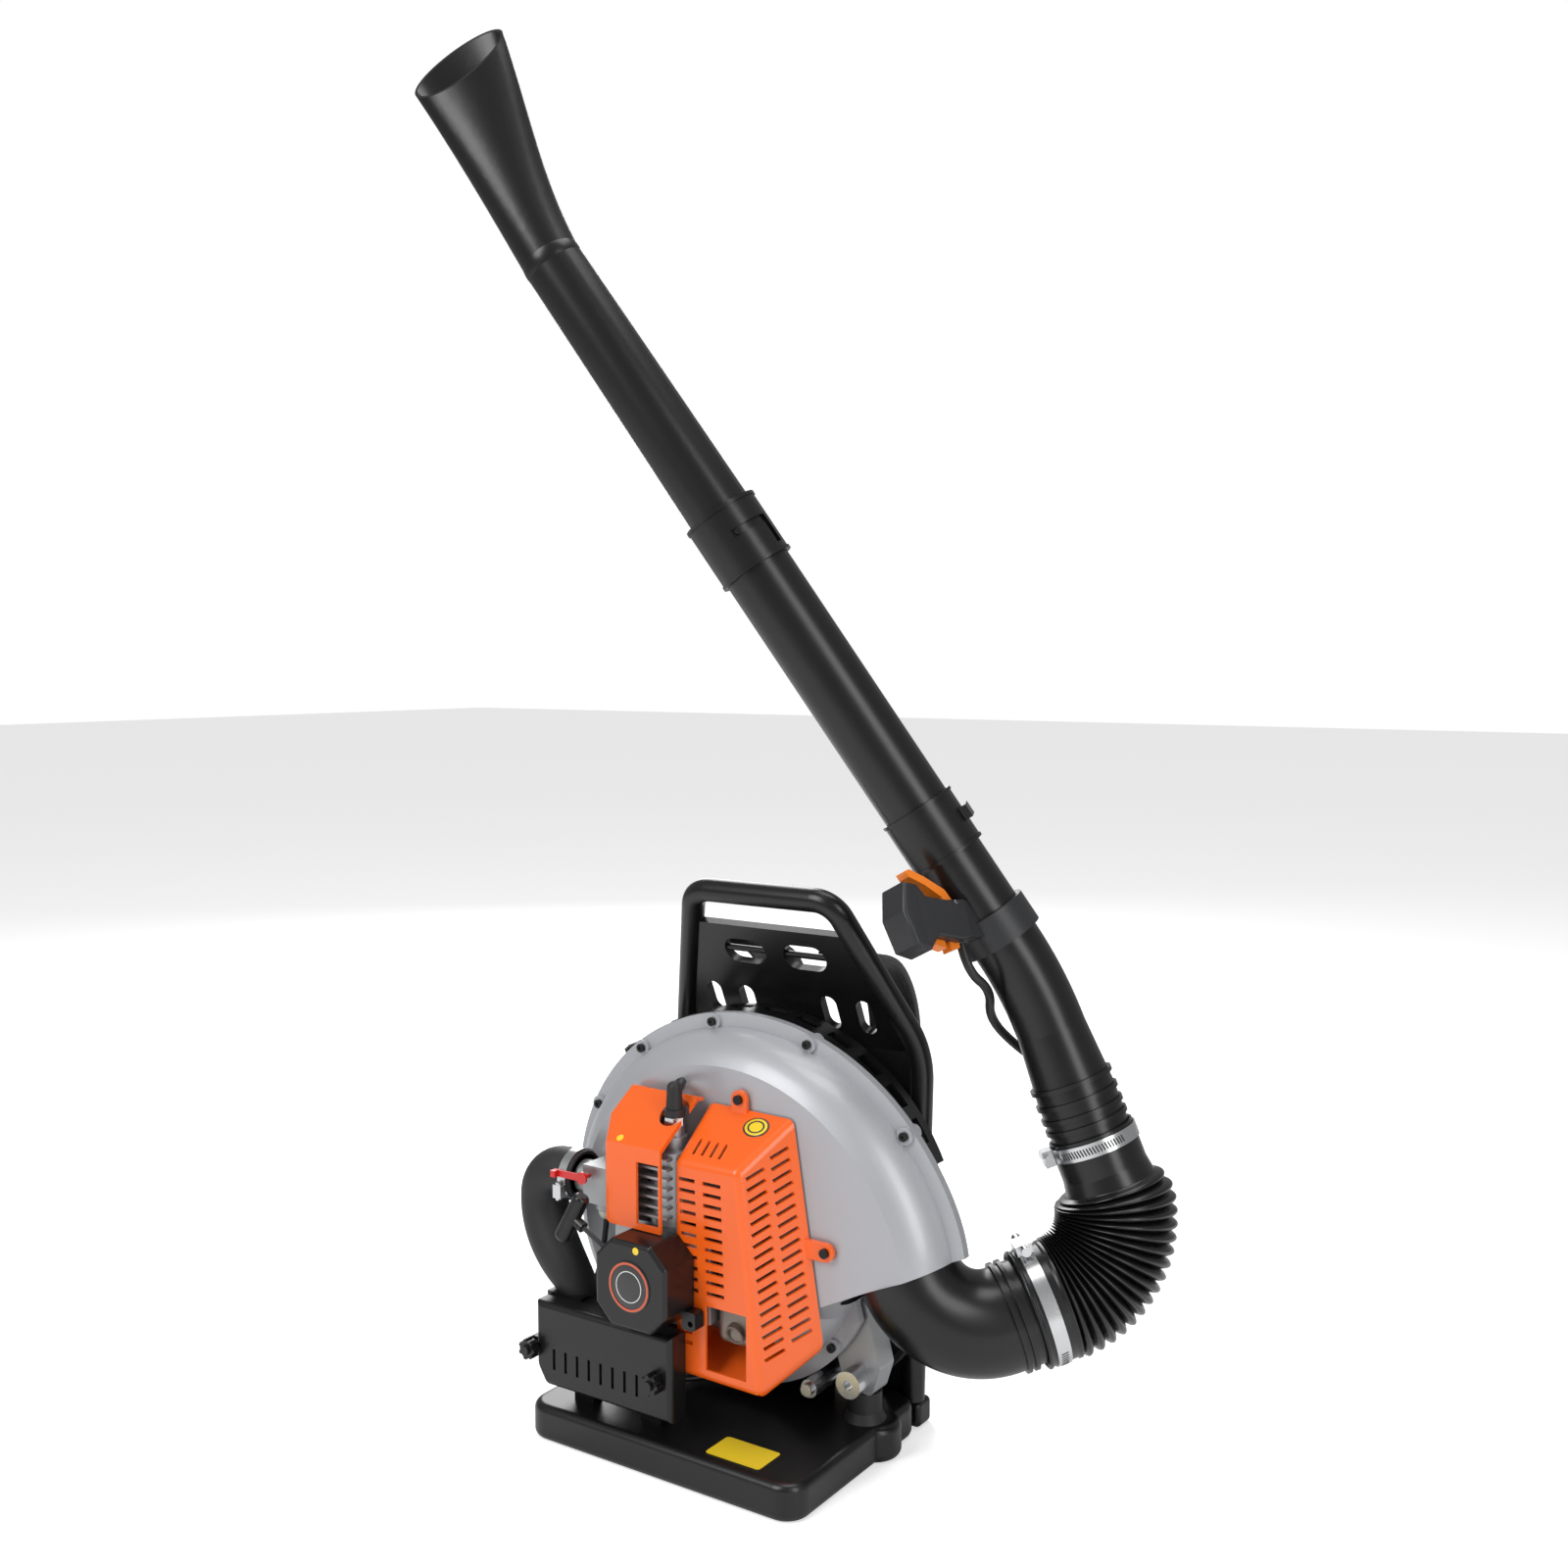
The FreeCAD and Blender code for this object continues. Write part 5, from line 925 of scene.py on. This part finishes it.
class BLOWER_OT_labels(bpy.types.Operator):
    """Stick on the blank labels: starter badge, base plate, oval and inspection dots"""

    bl_idname = "blower.labels"
    bl_label = "Labels"

    def execute(self, context):
        low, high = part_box("blank_labels")
        face = Vector((FAN_X, low.y, FAN_Z))
        badge = disc("starter_badge", face + Y * 1.2 * MM, -Y, 22 * MM, 0.9 * MM, "label_blank",
                     "label_dark", "machine")
        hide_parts("blank_labels")
        disc("starter_badge_ring", face + Y * 0.35 * MM, -Y, 21 * MM, 0.5 * MM, "label_blank",
             "label_orange", "machine", inner=19 * MM)
        disc("starter_badge_line", face + Y * 0.35 * MM, -Y, 13.6 * MM, 0.4 * MM, "label_blank",
             "label_white", "machine", inner=12.8 * MM)
        self.base_plate()
        spot, normal = ray_to("muffler_cover", mm(60, -36, 500), -Z)
        disc("hot_cover_sign", spot, normal, 12.5 * MM, 0.4 * MM, "label_blank", "label_dark",
             "machine", stretch=0.8)
        disc("hot_cover_face", spot + normal * 0.25 * MM, normal, 10.8 * MM, 0.4 * MM, "label_blank",
             "label_blank", "machine", stretch=0.8)
        disc("hot_cover_ring", spot + normal * 0.5 * MM, normal, 8.2 * MM, 0.35 * MM, "label_blank",
             "label_dark", "machine", inner=6.6 * MM, stretch=0.8)
        spot, normal = ray_to("cylinder_cover", mm(-50, -200, 282), Y)
        disc("cover_dot", spot, normal, 3.4 * MM, 0.3 * MM, "label_blank", "label_blank", "machine")
        spot, normal = ray_to("starter_housing", mm(-8, -200, 200), Y)
        disc("starter_dot", spot, normal, 3.2 * MM, 0.3 * MM, "label_blank", "label_blank", "machine")
        return {"FINISHED"}

    def base_plate(self):
        start_clean()
        bpy.ops.mesh.primitive_plane_add(size=1, location=(0, 0, 0))
        plate = named("base_label")
        bpy.ops.object.mode_set(mode="EDIT")
        bpy.ops.mesh.select_all(action="SELECT")
        bpy.ops.transform.resize(value=(55 * MM, 33 * MM, 1), center_override=(0, 0, 0))
        bpy.ops.mesh.bevel(offset=3 * MM, segments=5, affect="VERTICES")
        bpy.ops.mesh.select_all(action="SELECT")
        bpy.ops.mesh.inset(thickness=1.6 * MM)
        bpy.ops.mesh.select_all(action="SELECT")
        bpy.ops.mesh.extrude_region_move(TRANSFORM_OT_translate={"value": (0, 0, 0.5 * MM)})
        bpy.ops.mesh.select_all(action="SELECT")
        bpy.ops.mesh.normals_make_consistent(inside=False)
        bpy.ops.object.mode_set(mode="OBJECT")
        plate.data.transform(Matrix.Translation(mm(74, -76, 32.15)))
        give(plate, "label_blank", "machine")


# ---------------------------------------------------------------- stage

def area_light(name, spot, aim, size, power):
    data = bpy.data.lights.new(name, "AREA")
    data.shape, data.size, data.size_y, data.energy = "RECTANGLE", size[0], size[1], power
    lamp = bpy.data.objects.new(name, data)
    lamp.location = spot
    lamp.rotation_euler = (aim - Vector(spot)).to_track_quat("-Z", "Y").to_euler()
    bpy.context.scene.collection.objects.link(lamp)


class BLOWER_OT_stage(bpy.types.Operator):
    """Set the camera, the studio lights and the pale floor"""

    bl_idname = "blower.stage"
    bl_label = "Studio"

    def execute(self, context):
        start_clean()
        bpy.ops.mesh.primitive_plane_add(size=30, location=(0, 0, 0))
        floor = named("floor")
        made, tree, shader = bare_material("pale_floor")
        shader.inputs["Base Color"].default_value = (0.90, 0.90, 0.90, 1)
        shader.inputs["Roughness"].default_value = 0.6
        shader.inputs["Emission Color"].default_value = (1, 1, 1, 1)
        seen = add(tree, "ShaderNodeLightPath")
        glow = maths(tree, "MULTIPLY", seen.outputs["Is Camera Ray"], 0.52)
        tree.links.new(glow, shader.inputs["Emission Strength"])
        floor.data.materials.append(made)

        data = bpy.data.cameras.new("camera")
        data.lens, data.sensor_width = 37.8, 36
        camera = bpy.data.objects.new("camera", data)
        camera.location = (0.8447, -1.1573, 0.696)
        camera.rotation_euler = (math.radians(85.55), 0, math.radians(34))
        context.scene.collection.objects.link(camera)
        context.scene.camera = camera

        aim = Vector((0.05, 0, 0.45))
        area_light("key", (-0.7, -2.2, 2.1), aim, (1.2, 1.8), 44)
        area_light("fill", (2.4, -0.9, 1.3), aim, (0.9, 2.2), 26)
        area_light("rim", (-1.6, 1.8, 1.7), aim, (1.0, 2.0), 30)
        area_light("top", (0.3, 0.2, 2.9), aim, (1.6, 1.6), 30)
        self.surroundings(context)
        context.scene.view_settings.view_transform = "Standard"
        return {"FINISHED"}

    def surroundings(self, context):
        """White to look at, and dimmer as a light, so that black plastic stays black."""
        world = bpy.data.worlds.new("studio")
        world.use_nodes = True
        tree = world.node_tree
        seen = add(tree, "ShaderNodeLightPath")
        dim = add(tree, "ShaderNodeMix", data_type="FLOAT")
        dim.inputs["A"].default_value, dim.inputs["B"].default_value = 0.30, 1.0
        tree.links.new(seen.outputs["Is Camera Ray"], dim.inputs["Factor"])
        tree.links.new(dim.outputs["Result"], tree.nodes["Background"].inputs["Strength"])
        tree.nodes["Background"].inputs["Color"].default_value = (1, 1, 1, 1)
        context.scene.world = world


# ---------------------------------------------------------------- panel and registration

STEPS = (BLOWER_OT_stage, BLOWER_OT_finish_nodes, BLOWER_OT_rounded_grip, BLOWER_OT_cables,
         BLOWER_OT_bellows_hose, BLOWER_OT_clamp_slots, BLOWER_OT_starter_rope, BLOWER_OT_back_pad,
         BLOWER_OT_straps, BLOWER_OT_labels)


class BLOWER_PT_panel(bpy.types.Panel):
    bl_idname = "BLOWER_PT_panel"
    bl_label = "Leaf blower"
    bl_space_type = "VIEW_3D"
    bl_region_type = "UI"
    bl_category = "Blower"

    def draw(self, context):
        for group in (context.scene.blower_sizes, context.scene.blower_colours):
            for name in group.bl_rna.properties.keys():
                if name not in ("rna_type", "name"):
                    self.layout.prop(group, name)
        for step in STEPS:
            self.layout.operator(step.bl_idname)


CLASSES = (BlowerSizes, BlowerColours, *STEPS, BLOWER_PT_panel)


def register():
    for each in CLASSES:
        bpy.utils.register_class(each)
    bpy.types.Scene.blower_sizes = bpy.props.PointerProperty(type=BlowerSizes)
    bpy.types.Scene.blower_colours = bpy.props.PointerProperty(type=BlowerColours)


def unregister():
    del bpy.types.Scene.blower_colours
    del bpy.types.Scene.blower_sizes
    for each in reversed(CLASSES):
        bpy.utils.unregister_class(each)


def main():
    register()
    bpy.ops.blower.stage()
    bpy.ops.blower.finish_nodes()
    bpy.ops.blower.rounded_grip()
    bpy.ops.blower.cables()
    bpy.ops.blower.bellows_hose()
    bpy.ops.blower.clamp_slots()
    bpy.ops.blower.starter_rope()
    bpy.ops.blower.back_pad()
    bpy.ops.blower.straps()
    bpy.ops.blower.labels()


if __name__ == "__main__":
    main()
